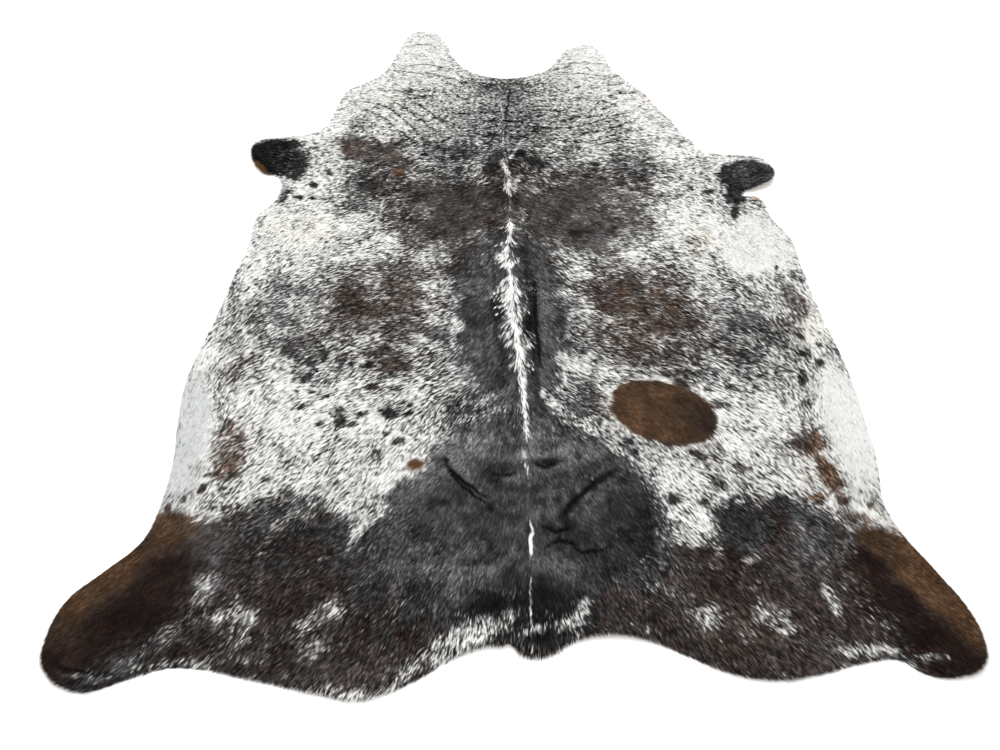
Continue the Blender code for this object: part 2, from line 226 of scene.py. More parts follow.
# How many of the hairs are dark, from none to all.
DARK_GROUND = 0.24
DARK = ovals(
    # The neck and the shoulders.
    ("left lobe", -300, 950, 200, 130, 0.03, 0.5, 100),
    ("right lobe", 260, 900, 150, 130, 0.03, 0.5, 90),
    ("neck", 0, 680, 420, 150, 0.21, 0.6),
    ("left throat", -470, 750, 140, 80, 0.05, 0.5, 50),
    ("right throat", 420, 720, 170, 80, 0.05, 0.5, 125),
    ("neck middle", -20, 610, 220, 130, 0.61, 0.6),
    ("collar", -10, 800, 105, 48, 0.8, 1),
    ("crest", 0, 740, 100, 34, 0.72, 0.9, 90),
    ("left shoulder front", -620, 580, 140, 60, 0.045, 0.5, 25),
    ("right shoulder front", 550, 530, 150, 60, 0.06, 0.5, 150),
    ("left cheek smudge", -480, 640, 40, 30, 0.38, 0.6, 40),
    ("left throat low", -370, 640, 90, 50, 0.1, 0.5, 20),
    ("left shoulder patch", -450, 515, 115, 62, 0.89, 0.3, -20),
    ("left shoulder inner", -180, 480, 150, 70, 0.69, 0.5, -10),
    ("left shoulder gap", -350, 440, 85, 45, 0.9, 0.5, -25),
    ("left shoulder", -400, 360, 160, 80, 0.86, 0.45, -12),
    ("left saddle", -150, 260, 200, 150, 0.965, 0.5, 8),
    ("left saddle tip", -360, 270, 130, 50, 0.7, 0.5, -12),
    ("right shoulder inner", 160, 460, 140, 60, 0.6, 0.5, 5),
    ("right shoulder", 340, 390, 220, 70, 0.75, 0.5, 3),
    ("right shoulder outer", 460, 415, 80, 45, 0.82, 0.5, -10),
    ("right shoulder gap", 280, 505, 100, 35, 0.36, 0.5, 10),
    ("right saddle", 190, 245, 210, 145, 0.955, 0.45),
    ("right saddle tip", 390, 275, 100, 60, 0.74, 0.4, -25),
    ("withers", 10, 420, 100, 80, 0.88, 0.5),
    ("left of the withers", -110, 470, 80, 55, 0.84, 0.5),
    ("saddle middle", 10, 260, 80, 130, 0.95, 0.4),
    ("left arm", -600, 380, 80, 130, 0.09, 0.5),
    ("right arm", 550, 380, 90, 80, 0.13, 0.5),
    ("right arm front", 610, 450, 80, 30, 0.2, 0.5, -10),
    ("right arm low", 540, 270, 100, 55, 0.09, 0.5),
    ("left chest", -620, 190, 180, 110, 0.045, 0.45, 5),
    ("left chest inner", -430, 150, 100, 70, 0.2, 0.6),
    ("right chest", 620, 170, 190, 110, 0.05, 0.45, -12),
    ("right chest inner", 460, 110, 90, 70, 0.11, 0.6),
    # The body.
    ("left front ribs", -350, 10, 170, 80, 0.7, 0.5, 5),
    ("left ribs", -370, -110, 170, 100, 0.86, 0.45),
    ("left outer ribs", -620, -90, 130, 100, 0.54, 0.5, -20),
    ("left side", -460, -200, 210, 90, 0.66, 0.5, -5),
    ("left rib patch", -270, -170, 100, 45, 0.94, 0.4, -10),
    *each("left rib dark", (-440, -75, 65, 48, 0.965, 0.6, -10), (-305, -50, 50, 32, 0.955, 0.6),
        (-350, -235, 55, 24, 0.95, 0.6)),
    *each("left side grey", (-595, -215, 45, 20, 0.94, 0.6, 30),
        (-510, -235, 42, 18, 0.94, 0.6, 10), (-600, -30, 50, 32, 0.84, 0.7)),
    ("left girth dark", -765, -150, 50, 12, 0.93, 0.6, 100),
    ("left girth brown", -735, -285, 20, 30, 0.86, 0.6),
    ("left back side", -460, -450, 280, 150, 0.06, 0.45, -12),
    ("left loin side", -240, -380, 70, 80, 0.22, 0.5),
    ("left loin white", -240, -335, 60, 40, 0.1, 0.6),
    ("left hip speckle", -290, -500, 100, 50, 0.15, 0.6, 20),
    ("left loin mid", -235, -275, 50, 45, 0.45, 0.6),
    ("right front ribs", 340, 0, 130, 70, 0.55, 0.5),
    ("right ribs", 380, -100, 190, 130, 0.85, 0.45, -5),
    ("right ribs low", 400, -250, 150, 50, 0.82, 0.5, -10),
    ("right outer ribs", 610, -135, 160, 115, 0.6, 0.5, -10),
    ("right side", 600, -250, 190, 80, 0.65, 0.5),
    *each("right rib dark", (360, -70, 150, 62, 0.955, 0.5, -5),
        (430, -135, 85, 30, 0.955, 0.6, -10), (310, -200, 60, 24, 0.94, 0.6, -20)),
    ("right chest grey", 440, 95, 48, 28, 0.68, 0.6),
    *each("right outer grey", (650, -45, 50, 25, 0.84, 0.6), (660, -150, 90, 45, 0.9, 0.6, -25)),
    ("right outer dark", 530, -195, 55, 22, 0.94, 0.6, -20),
    ("right back side", 660, -450, 200, 140, 0.13, 0.45, 5),
    ("right loin side", 175, -370, 75, 130, 0.72, 0.5, 5),
    ("spinal band front", 0, 60, 140, 120, 0.94, 0.3, 90),
    ("left of the band front", -110, 80, 80, 70, 0.93, 0.4),
    ("spinal band", 0, -140, 280, 165, 0.96, 0.2, 90),
    ("left loin band", -120, -385, 80, 50, 0.9, 0.4, 30),
    ("right loin band", 190, -180, 60, 50, 0.86, 0.4, 90),
    ("right loin band low", 75, -420, 55, 85, 0.965, 0.4),
    ("croup top", 20, -460, 140, 45, 0.975, 0.4),
    *each("left band edge", (-210, -20, 70, 22, 0.28, 0.6, -25),
        (-190, -110, 60, 22, 0.3, 0.6, -25), (-200, -210, 50, 16, 0.4, 0.6, -25),
        (-50, -360, 50, 16, 0.5, 0.6, 30), (-140, -450, 70, 18, 0.5, 0.6, 25)),
    *each("right band edge", (190, 30, 45, 22, 0.22, 0.6, -30), (200, -60, 45, 18, 0.3, 0.6, -40),
        (240, -120, 45, 16, 0.42, 0.6, -30), (170, -260, 50, 25, 0.38, 0.6, -40),
        (260, -270, 70, 22, 0.36, 0.6, -20), (120, -400, 60, 20, 0.45, 0.6, -45),
        (240, -470, 80, 22, 0.4, 0.6, -25)),
    # The rump, the thighs and the hind shanks.
    ("croup", 20, -550, 220, 130, 0.97, 0.18),
    ("rump", 0, -760, 360, 210, 0.985, 0.12),
    ("right hip", 272, -668, 145, 86, 0.985, 0.4, 108),
    ("left thigh top", -540, -760, 240, 100, 0.985, 0.2, 3),
    ("left thigh", -500, -920, 420, 170, 0.975, 0.16, 4),
    ("right thigh top", 605, -745, 190, 118, 0.975, 0.32, 4),
    ("right thigh", 560, -900, 400, 160, 0.97, 0.16, -4),
    ("right thigh black", 525, -705, 60, 60, 0.995, 0.4),
    ("tail root", 40, -930, 130, 90, 0.985, 0.2),
    ("left buttock", -170, -990, 200, 70, 0.965, 0.25, 12),
    ("right buttock", 220, -950, 120, 60, 0.97, 0.25, -10),
    ("left thigh border", -600, -680, 140, 50, 0.95, 0.35, 8),
    ("left rump shoulder", -255, -632, 80, 45, 0.94, 0.3, 48),
    ("left thigh brow", -500, -650, 70, 35, 0.9, 0.4, 5),
    ("left rump notch", -345, -705, 55, 20, 0.25, 0.5, 50),
    # Fewer dark hairs along the right rump crease's lip: a painted highlight on its ridge.
    ("right crease lip", 205, -590, 80, 4, 0.86, 0.8, 32),
    ("left rump border", -410, -555, 100, 40, 0.14, 0.4, 40),
    ("right rump border", 400, -500, 90, 40, 0.32, 0.4, 160),
    ("white wedge", 425, -625, 150, 47, 0.11, 0.35, 102),
    ("left hind shank", -890, -860, 260, 120, 0.995, 0.1, 42),
    ("left shank top", -790, -735, 90, 62, 0.985, 0.22, 10),
    ("left flank notch", -700, -670, 46, 24, 0.12, 0.5, 15),
    ("left hind tip", -930, -1000, 140, 100, 1, 0.1, 10),
    ("right hind shank", 930, -870, 215, 95, 0.995, 0.1, 125),
    ("right hind tip", 950, -970, 100, 100, 1, 0.1),
    # The pale edges of the belly.
    ("left belly", -820, -470, 170, 60, 0.035, 0.3, 93),
    ("left girth", -800, -220, 160, 30, 0.08, 0.5, 75),
    ("left girth streaks", -755, -160, 160, 30, 0.46, 0.5, 100),
    ("left chest edge", -740, 130, 180, 45, 0.04, 0.5, 95),
    ("right belly", 850, -450, 180, 55, 0.022, 0.3, 92),
    ("right chest edge", 720, 120, 120, 100, 0.025, 0.35),
    ("right girth", 780, -70, 75, 24, 0.91, 0.4, 97),
    ("right girth edge", 830, -200, 100, 35, 0.09, 0.4, 95),
    ("left flank", -745, -635, 75, 40, 0.06, 0.4, 10),
    ("right flank", 830, -660, 60, 30, 0.08, 0.4, 160),
)

# Blots, streaks and flecks that stand out of the speckle.
MARKS = ovals(
    ("left fore shank", -745, 480, 85, 80, 0.985, 0.1, 10),
    ("left fore shank inner", -685, 475, 36, 62, 0.96, 0.5),
    ("left fore shank low", -690, 420, 45, 22, 0.96, 0.4, 15),
    ("left fore shank top", -700, 535, 48, 22, 0.98, 0.4),
    ("left fore shank fringe", -655, 450, 30, 50, 0.93, 0.6),
    ("left fore shank corner", -665, 405, 34, 18, 0.95, 0.5, -30),
    ("right fore shank", 736, 396, 100, 64, 0.98, 0.14),
    ("right fore shank inner", 695, 335, 60, 36, 0.98, 0.25, 50),
    ("right shank streak", 672, 265, 35, 12, 0.95, 0.3, 70),
    ("right armpit white", 725, 285, 35, 22, 0.12, 0.3, 50),
    # Dark hair in the left armpit's notch, with painted shade under its curl.
    ("left armpit", -680, 315, 35, 10, 0.85, 0.4, 70),
    ("right lobe dash", 272, 883, 15, 3, 0.98, 0.3, -40),
    ("collar spot", -85, 803, 8, 5, 0.97, 0.3),
    *spots("neck spot", 0.97, 0.3, (-140, 720, 8, 5), (-330, 780, 6, 5), (345, 720, 9, 6),
        (310, 735, 6, 4), (195, 610, 10, 6)),
    ("left shoulder spot", -270, 490, 15, 12, 0.97, 0.45),
    *spots("right shoulder spot", 0.97, 0.45, (100, 450, 15, 12), (270, 450, 13, 11),
        (340, 370, 17, 13)),
    *spots("right arm spot", 0.98, 0.4, (550, 350, 11, 8, 30), (600, 338, 20, 11, 10)),
    *spots("left arm spot", 0.98, 0.4, (-600, 365, 17, 11, -40), (-640, 315, 15, 10, -30),
        (-600, 310, 11, 8, -30), (-640, 420, 13, 9, -60), (-560, 420, 15, 10, -40)),
    ("right chest spot", 755, 50, 5, 8, 0.97, 0.3),
    ("left rib blot", -310, -270, 38, 28, 0.97, 0.45),
    *spots("left side blot", 0.97, 0.45, (-450, -250, 19, 13, 20), (-380, -270, 17, 12, 20),
        (-540, -310, 17, 12, 35), (-488, -442, 12, 12, 60), (-440, -400, 16, 12, 10),
        (-436, -432, 19, 16, 20), (-405, -441, 13, 8, 10), (-385, -412, 14, 9, 20),
        (-310, -412, 16, 21, 80), (-335, -400, 10, 8), (-262, -413, 14, 9), (-312, -466, 12, 8),
        (-285, -490, 17, 11), (-335, -520, 14, 10, 10), (-365, -335, 20, 9), (-520, -350, 9, 6, 20),
        (-478, -362, 7, 6), (-540, -392, 9, 7), (-560, -350, 9, 6), (-600, -590, 12, 12)),
    *spots("right side blot", 0.95, 0.6, (425, -238, 24, 16, -10), (610, -235, 22, 16, -30),
        (580, -190, 15, 11, -30), (500, -245, 18, 12), (400, -296, 22, 13, -20),
        (445, -322, 24, 13, -30), (535, -388, 26, 12, -10), (565, -335, 9, 10),
        (460, -522, 22, 14, -20), (300, -520, 20, 14, -30), (290, -490, 16, 10, -20),
        (500, -600, 18, 12, -40), (560, -555, 14, 10, -40)),
    *each("right girth spot", (770, -220, 12, 22, 0.85, 0.4), (812, -265, 12, 14, 0.9, 0.4),
        (782, -232, 10, 13, 0.95, 0.4), (825, -208, 6, 7, 0.95, 0.4),
        (780, -185, 12, 12, 0.92, 0.4), (760, -310, 12, 16, 0.85, 0.4)),
    ("right flank spot", 750, -385, 18, 14, 0.8, 0.4),
    ("brown oval", 388, -408, 136, 88, 1, 0.05, -16),
    ("brown oval top", 313, -353, 50, 38, 1, 0.08, 20),
    *each("wedge spot", (385, -638, 20, 14, 0.97, 0.5, -30), (458, -645, 13, 11, 0.97, 0.45),
        (430, -775, 36, 20, 1, 0.2, 5), (510, -770, 22, 13, 1, 0.2)),
    ("left flank cluster", -710, -498, 42, 46, 0.87, 0.45),
    ("left flank cluster low", -688, -548, 28, 26, 0.88, 0.45),
    ("left flank cluster line", -705, -582, 50, 9, 0.9, 0.5),
    ("left flank cluster top", -720, -445, 16, 18, 0.85, 0.5),
    ("left flank flecks", -735, -635, 70, 30, 0.2, 0.5, 5),
    ("right flank cluster", 742, -495, 44, 38, 0.89, 0.45, 10),
    ("right flank strip", 768, -580, 62, 21, 0.97, 0.32, 112),
    *spots("right flank fleck", 0.98, 0.4, (733, -640, 14, 13), (790, -650, 13, 15),
        (850, -655, 8, 10)),
    ("right flank flecks", 810, -690, 45, 20, 0.66, 0.5, -20),
    *spots("left shank top fleck", 0.95, 0.3, (-790, -640, 6, 10), (-750, -615, 8, 12),
        (-825, -660, 10, 10)),
    ("left thigh white", -705, -850, 18, 36, 0.62, 0.8),
    ("left thigh white low", -610, -965, 40, 14, 0.7, 0.8, 30),
    *spots("left thigh white", 0.58, 0.8, (-645, -910, 32, 14, 25), (-590, -925, 30, 22, 45)),
    ("left thigh spot", -568, -947, 13, 13, 1, 0.2),
    *each("left thigh white", (-450, -920, 45, 16, 0.6, 0.8, 40),
        (-430, -980, 45, 16, 0.78, 0.8, 20), (-405, -905, 20, 12, 0.62, 0.8)),
    ("left tail wedge", -120, -966, 105, 26, 0.24, 0.5, 26),
    ("left tail wedge low", -205, -1012, 55, 13, 0.4, 0.6, 36),
    ("right tail white", 150, -905, 32, 12, 0.45, 0.6, 50),
    ("right tail rim white", 90, -938, 60, 7, 0.5, 0.7, 10),
    *each("right thigh white", (430, -915, 24, 22, 0.5, 0.8), (575, -910, 36, 22, 0.42, 0.7, -15),
        (590, -940, 22, 10, 0.5, 0.8), (715, -875, 14, 36, 0.42, 0.7, 15),
        (540, -790, 20, 10, 0.6, 0.8)),
    ("right thigh grey", 360, -860, 40, 20, 0.88, 0.6),
    *each("right edge white", (770, -985, 50, 12, 0.4, 0.7), (900, -998, 30, 6, 0.5, 0.6)),
    *each("left edge white", (-720, -1012, 120, 10, 0.62, 0.6, 4),
        (-905, -1036, 55, 9, 0.75, 0.6, -5)),
    ("left thigh streak", -780, -965, 90, 16, 0.88, 0.8, 35),
    # The spine, from the withers to the tail.
    # Black hair along the parting fold, with the fold's painted shadow.
    *each("right of the feather", (42, 60, 80, 12, 0.995, 0.4, 88),
        (60, -120, 110, 14, 0.995, 0.4, 93), (66, -290, 80, 12, 0.98, 0.4, 93)),
    *spots("left of the feather", 0.985, 0.4, (-42, -60, 100, 12, 92), (-20, -230, 80, 12, 93)),
    *each("withers blot", (-48, 480, 34, 17, 1, 0.3, 50), (35, 492, 28, 14, 1, 0.3, -50),
        (-58, 432, 36, 22, 0.995, 0.4, 20), (78, 458, 32, 22, 0.99, 0.4, -20),
        (15, 455, 12, 7, 1, 0.3, 90)),
    ("withers streak", 14, 490, 34, 6, 0.04, 0.4, 65),
    *each("withers tuft", (-10, 420, 42, 11, 0.03, 0.5, -70), (25, 380, 24, 8, 0.12, 0.4, 60)),
    ("spine dash", 36, -560, 50, 5, 0.6, 0.6, 96),
    ("tail spindle", 42, -750, 48, 4.5, 0.03, 0.5, 90),
    ("tail line", 38, -885, 90, 2.2, 0.5, 0.5, 90),
)

# The white feather along the spine: its middle and half its width, from the withers to the rump.
Knot = namedtuple("Knot", "y x half_width")
SPINE = [Knot(y / 1000, x / 1000, half_width / 1000) for y, x, half_width in (
    (385, 0, 0), (360, 0, 12), (340, 0, 16), (315, 0, 6), (300, 0, 1), (215, 0, 1), (195, 2, 18),
    (172, 0, 3), (158, -4, 3), (135, -4, 17), (112, -12, 7), (90, -20, 13), (60, -10, 21),
    (38, -8, 2), (25, -4, 2), (8, -2, 16), (-30, -4, 26), (-80, -2, 28), (-115, 3, 20),
    (-135, 6, 12), (-175, 14, 27), (-205, 17, 22), (-228, 20, 9), (-265, 22, 15), (-300, 26, 10),
    (-335, 28, 7), (-380, 33, 6), (-470, 36, 5), (-500, 36, 0),
)]

# How brown the dark hairs are: 0 is charcoal, 0.5 a brown black, 1 a chestnut brown.
BROWN_GROUND = 0.22
BROWN = ovals(
    ("left shoulder brown", -440, 520, 130, 60, 0.72, 0.5, -22),
    ("left saddle brown", -180, 240, 200, 140, 0.48, 0.5),
    ("right saddle brown", 220, 240, 240, 160, 0.5, 0.5),
    ("left ribs brown", -360, -60, 160, 160, 0.68, 0.6),
    ("left ribs spot brown", -300, -270, 60, 40, 0.58, 0.5),
    ("right ribs brown", 360, -100, 160, 160, 0.8, 0.6),
    ("thighs brown", 0, -980, 1000, 110, 0.33, 0.5),
    ("left thigh brown", -500, -900, 280, 120, 0.38, 0.5),
    ("right thigh brown", 550, -900, 350, 140, 0.48, 0.5),
    ("right thigh black", 530, -710, 60, 70, 0.1, 0.5),
    ("rump charcoal", 0, -740, 350, 240, 0.05, 0.4),
    ("spinal charcoal", 0, -150, 300, 170, 0.05, 0.3, 90),
    ("neck charcoal", 0, 680, 400, 200, 0.15, 0.5),
    *each("right brown tint", (510, -950, 90, 50, 0.62, 0.6), (650, -820, 70, 50, 0.52, 0.6)),
    ("tail brown tint", 230, -880, 50, 30, 0.55, 0.6),
    ("left edge brown", -320, -1050, 120, 40, 0.55, 0.6),
    ("left shank brown", -920, -820, 270, 95, 0.93, 0.5, 43),
    ("left shank top brown", -800, -720, 100, 55, 0.88, 0.4, 10),
    ("left shank dark middle", -840, -900, 130, 55, 0.38, 0.9, 42),
    ("left shank tip dark", -970, -980, 80, 60, 0.55, 0.8),
    ("right shank brown", 940, -820, 240, 70, 1, 0.35, 122),
    ("right shank top brown", 840, -730, 60, 35, 0.92, 0.4, -20),
    ("left flank flecks brown", -710, -510, 70, 90, 0.86, 0.3),
    ("right flank flecks brown", 760, -550, 70, 120, 0.86, 0.3, 10),
    ("brown oval", 388, -408, 148, 100, 1, 0.1, -16),
    ("brown oval dark end", 465, -435, 95, 80, 0.78, 0.7),
    ("brown oval dark top", 355, -370, 60, 30, 0.9, 0.9),
    ("right girth brown", 780, -70, 100, 40, 0.66, 0.5, 97),
    ("left girth brown", -735, -285, 40, 50, 0.7, 0.5),
    ("left shank black", -740, 480, 100, 100, 0.02, 0.3),
    ("right shank black", 720, 390, 100, 100, 0.02, 0.3),
)

# Spots where the hair is tan or red brown through and through.
TAN = ovals(
    ("left shoulder red", -520, 505, 30, 14, 0.28, 0.5),
    ("left shoulder tan", -345, 412, 24, 15, 0.75, 0.5, -20),
    ("left saddle tan", -370, 355, 20, 16, 0.15, 0.6),
    ("left hip tan", -240, -552, 24, 16, 1, 0.4, 20),
    ("right armpit red", 755, 325, 28, 18, 0.9, 0.4, 20),
    ("left shank rim tan", -765, 415, 50, 14, 0.85, 0.4, -50),
)

# How grey the dark hairs are: fine white hairs mixed in, and a painted sheen on the croup, rump and
# flanks.
MIST_AND_SHEEN_GROUND = 0.12
MIST_AND_SHEEN = ovals(
    ("right saddle", 240, 220, 240, 130, 0.36, 0.5),
    ("left saddle", -180, 240, 180, 130, 0.19, 0.5),
    ("spinal band", 0, -140, 300, 170, 0.4, 0.4, 90),
    ("thighs", 0, -860, 900, 180, 0.11, 0.5),
    ("croup", 0, -580, 250, 120, 0.95, 0.4),
    ("rump", 0, -720, 340, 160, 0.36, 0.4),
    ("right rump", 200, -780, 120, 80, 0.12, 0.7),
    ("left rump mist", -100, -800, 90, 60, 0.56, 0.7),
    ("right rump mist", 100, -800, 50, 50, 0.42, 0.7),
    ("left flank mist", -720, -770, 50, 85, 0.58, 0.8, 20),
    ("right flank mist", 720, -740, 70, 85, 0.46, 0.8, -20),
    ("right croup mist", 160, -600, 100, 60, 0.55, 0.7, 30),
    # In the croup's dents the grey is taken away: painted shade in these hollows.
    *each("croup dent", (-30, -555, 55, 22, 0.08, 0.9), (80, -550, 50, 13, 0.04, 0.8, -5),
        (-10, -500, 40, 18, 0.2, 0.9)),
    ("right hip dark", 300, -690, 90, 100, 0.1, 0.8),
    ("right girth", 780, -65, 90, 30, 0.75, 0.5, 97),
    ("left side grey", -600, -100, 80, 120, 0.35, 0.6),
    ("right outer grey", 660, -120, 110, 90, 0.35, 0.6),
    ("tail root black", 20, -900, 140, 62, 0, 0.5),
    # Less grey along the parting fold: its painted shadow.
    ("right of the feather", 56, -110, 240, 14, 0.04, 0.8, 92),
    ("left of the feather", -36, -120, 200, 10, 0.11, 0.8, 93),
    ("left hind shank", -910, -880, 240, 120, 0.01, 0.3, 42),
    ("right hind shank", 920, -880, 260, 120, 0.01, 0.3, 125),
    ("right shank", 740, 400, 60, 40, 0.22, 0.5),
    ("left shank", -740, 480, 100, 100, 0, 0.5),
    ("brown oval", 388, -408, 148, 100, 0.01, 0.2, -16),
)

# How the white hairs lean: 0 is a cold, greyer white, 0.5 plain, 1 cream; at the left belly's edge
# the greyer cold white is painted shade.
PALE_GROUND = 0.50
PALE = ovals(
    ("left chest cream", -600, 200, 140, 70, 0.62, 0.7),
    ("right chest cream", 570, 140, 60, 50, 0.74, 0.7),
    ("right chest cold", 730, 120, 120, 110, 0.25, 0.4),
    # The left belly's edge, lit less, in the greyer cold white: painted shade.
    ("left belly cold", -820, -500, 240, 60, 0, 0.3, 93),
    ("right belly cold", 850, -460, 220, 55, 0.22, 0.3, 92),
    ("left lobe grey", -300, 960, 160, 120, 0.26, 0.5, 100),
    ("right lobe grey", 260, 920, 130, 120, 0.34, 0.5, 90),
    ("left throat cream", -350, 720, 100, 60, 0.6, 0.7),
    ("right girth cream", 830, -180, 100, 40, 0.64, 0.6, 90),
)

# Tufts: how many millimetres longer the hair is there.
TUFTS = ovals(
    *each("withers", (18, 495, 28, 10, 14, 0.5, 65), (-20, 425, 32, 14, 16, 0.5, -55),
        (0, 350, 42, 32, 20, 0.5, 90)),
    *spots("saddle", 16, 0.5, (0, 190, 20, 20, 90), (4, 135, 24, 24, 90)),
    ("back", 6, 0, 120, 30, 15, 0.5, 92),
    ("loin", 16, -170, 170, 36, 15, 0.5, 94),
    ("rump line", 36, -400, 100, 12, 8, 0.5, 92),
    ("tail", 50, -960, 60, 30, 12, 0.5),
)

# Where the coat is pressed flat and sleek.
SLEEK = ovals(
    ("rump", 0, -700, 340, 240, 0.8, 0.4),
    ("spinal band", 0, -140, 300, 160, 0.6, 0.3, 90),
    ("left saddle", -170, 240, 180, 140, 0.5, 0.4),
    ("right saddle", 220, 220, 220, 130, 0.5, 0.4),
    ("left shoulder patch", -440, 520, 130, 60, 0.5, 0.4, -22),
    ("left lobe", -300, 960, 160, 120, 0.2, 0.5, 100),
    ("right lobe", 260, 920, 130, 120, 0.2, 0.5, 90),
    ("left thigh", -500, -880, 400, 200, 0.1, 0.4, 4),
    ("right thigh", 560, -870, 380, 200, 0.08, 0.4, -4),
    ("left belly", -820, -500, 260, 70, 0.7, 0.3, 93),
    ("right belly", 850, -460, 240, 65, 0.7, 0.3, 92),
    ("right chest", 720, 120, 120, 110, 0.7, 0.3),
    ("brown oval", 390, -410, 150, 105, 1, 0.2, -16),
    ("left shank", -900, -860, 260, 120, 0.9, 0.3, 42),
    ("right shank", 930, -860, 240, 100, 0.8, 0.3, 125),
)

# Wrinkles finer than the solid's creases, each a soft trough along a bent line, where the coat is
# darkened as painted shade.
Wrinkle = namedtuple("Wrinkle", "x1 y1 x2 y2 x3 y3 half_width depth")
WRINKLES = [Wrinkle(*(size / 1000 for size in row[1:])) for row in (
    *each("left lobe", (-370, 995, -300, 1005, -230, 995, 5.8, 1.2),
        (-390, 900, -300, 905, -200, 885, 5.8, 1.2), (-410, 885, -300, 868, -180, 840, 5.8, 1.4)),
    *each("right lobe", (150, 905, 240, 915, 330, 900, 5, 1), (120, 865, 240, 860, 360, 850, 5, 1)),
    *each("left throat", (-480, 730, -375, 675, -275, 555, 6.5, 2.2),
        (-500, 695, -400, 645, -300, 530, 5.8, 1.8), (-400, 740, -320, 680, -225, 575, 5.8, 1.6),
        (-340, 740, -270, 690, -190, 600, 5, 1.2)),
    *each("right collar", (400, 680, 300, 645, 200, 612, 6.5, 2.2),
        (440, 600, 350, 585, 250, 545, 5.8, 1.8), (420, 640, 330, 610, 230, 580, 5.8, 1.6),
        (380, 560, 300, 540, 210, 510, 5, 1.2)),
    ("left hind tip", -995, -1004, -950, -1026, -860, -1032, 7, 3),
    ("left rump", -170, -535, -130, -590, -55, -638, 9, 3.4),
    ("right rump", 268, -562, 175, -620, 105, -700, 15, 3.4),
    *each("croup dent", (-55, -574, -25, -582, 12, -572, 5, 1.8),
        (52, -548, 82, -556, 115, -549, 5, 1.8)),
    *each("tail wrinkle", (70, -770, 105, -744, 150, -750, 6, 1.8),
        (135, -735, 165, -768, 240, -748, 5, 1.5), (62, -702, 100, -718, 150, -706, 5, 1.2)),
    ("croup line", -160, -560, -120, -612, -50, -655, 6, 1.2),
    ("neck parting", 0, 825, -6, 700, -12, 570, 5, 1),
    ("parting fold", 68, 10, 70, -140, 78, -290, 10, 2.4),
)]
WRINKLE_STEPS = 8
WRINKLE_ROOM = 0.0020  # the hair side sinks no further, so that it stays above the flesh side
WRINKLE_PAINTED_SHADE = 4.2  # painted shade: how much the odds of dark hair rise in a wrinkle
WRINKLE_PAINTED_SHADE_TONE = 0.35  # and how much darker all hair is painted there, as shade
NECK_LINES = Oval(0.00, 0.74, 0.52, 0.24, 1.0, 0.35)  # fine lines cross the neck here, darkened as painted shade and as the darker hair where the coat parts
LINE_STRETCH = 11.0  # how many times as long as wide their waves are
LINE_WIDTH = 0.20
LINE_DEPTH = 0.0010
LINE_SHARE = 0.6  # the larger, the fewer gaps they have

# Stretches of the rim where the hair ends short and the cut leather shows.
Bare = namedtuple("Bare", "x y reach width")
BARE_RIMS = [Bare(*(size / 1000 for size in row[1:])) for row in (
    ("right throat rim", 420, 770, 130, 9),
    ("right fore shank rim", 700, 475, 110, 10),
    ("left fore shank rim", -765, 410, 60, 10),
    ("right armpit rim", 755, 325, 50, 12),
    ("right tail rim", 160, -960, 70, 9),
    ("left tail rim", -60, -982, 80, 5),
)]


def smooth(share):
    """Ease from 0 to 1 with no kink at either end."""
    share = np.clip(share, 0.0, 1.0)
    return share * share * (3.0 - 2.0 * share)


def soft_noise(x, y, size, seed):
    """Smooth wandering values between -1 and 1, with swells of one size in metres."""
    table = np.random.default_rng(seed).uniform(-1.0, 1.0, (NOISE_TILE, NOISE_TILE))
    column = np.floor(x / size).astype(int)
    row = np.floor(y / size).astype(int)
    across = smooth(x / size - column)
    up = smooth(y / size - row)
    left, right = column % NOISE_TILE, (column + 1) % NOISE_TILE
    low, high = row % NOISE_TILE, (row + 1) % NOISE_TILE
    lower = table[low, left] * (1.0 - across) + table[low, right] * across
    upper = table[high, left] * (1.0 - across) + table[high, right] * across
    return lower * (1.0 - up) + upper * up


def oval_cover(x, y, oval):
    """How far an oval covers each point: 1 inside it, fading to 0 past its edge."""
    turn = math.radians(oval.turn_deg)
    along = ((x - oval.x) * math.cos(turn) + (y - oval.y) * math.sin(turn)) / oval.half_length
    across = ((y - oval.y) * math.cos(turn) - (x - oval.x) * math.sin(turn)) / oval.half_width
    return smooth((1.0 + oval.soft - np.hypot(along, across)) / (2.0 * oval.soft))


def laid_over(x, y, layers, value):
    """Ovals laid in their order over a ground that may differ from point to point."""
    for oval in layers:
        reach = max(oval.half_length, oval.half_width) * (1.0 + oval.soft)
        near = np.flatnonzero((abs(x - oval.x) < reach) & (abs(y - oval.y) < reach))
        cover = oval_cover(x[near], y[near], oval)
        value[near] += (oval.share - value[near]) * cover
    return value


def painted(x, y, layers, ground=0.0):
    """Ovals laid over an even ground."""
    return laid_over(x, y, layers, np.full(x.shape, ground))


def swayed(x, y, sways):
    """The points moved by noise, so that what is painted there gets an uneven edge."""
    for far, seed in sways:
        aside = far * soft_noise(x, y, SWAY_SIZE * far, seed)
        y = y + far * soft_noise(x, y, SWAY_SIZE * far, seed + 1)
        x = x + aside
    return x, y


def bend_line(wrinkle):
    """A wrinkle's bent line: an arc of a parabola through its three points."""
    start = np.array((wrinkle.x1, wrinkle.y1))
    middle = np.array((wrinkle.x2, wrinkle.y2))
    end = np.array((wrinkle.x3, wrinkle.y3))
    control = 2.0 * middle - 0.5 * (start + end)
    along = np.linspace(0.0, 1.0, WRINKLE_STEPS + 1)[:, None]
    left = 1.0 - along
    return left ** 2 * start + 2.0 * along * left * control + along ** 2 * end


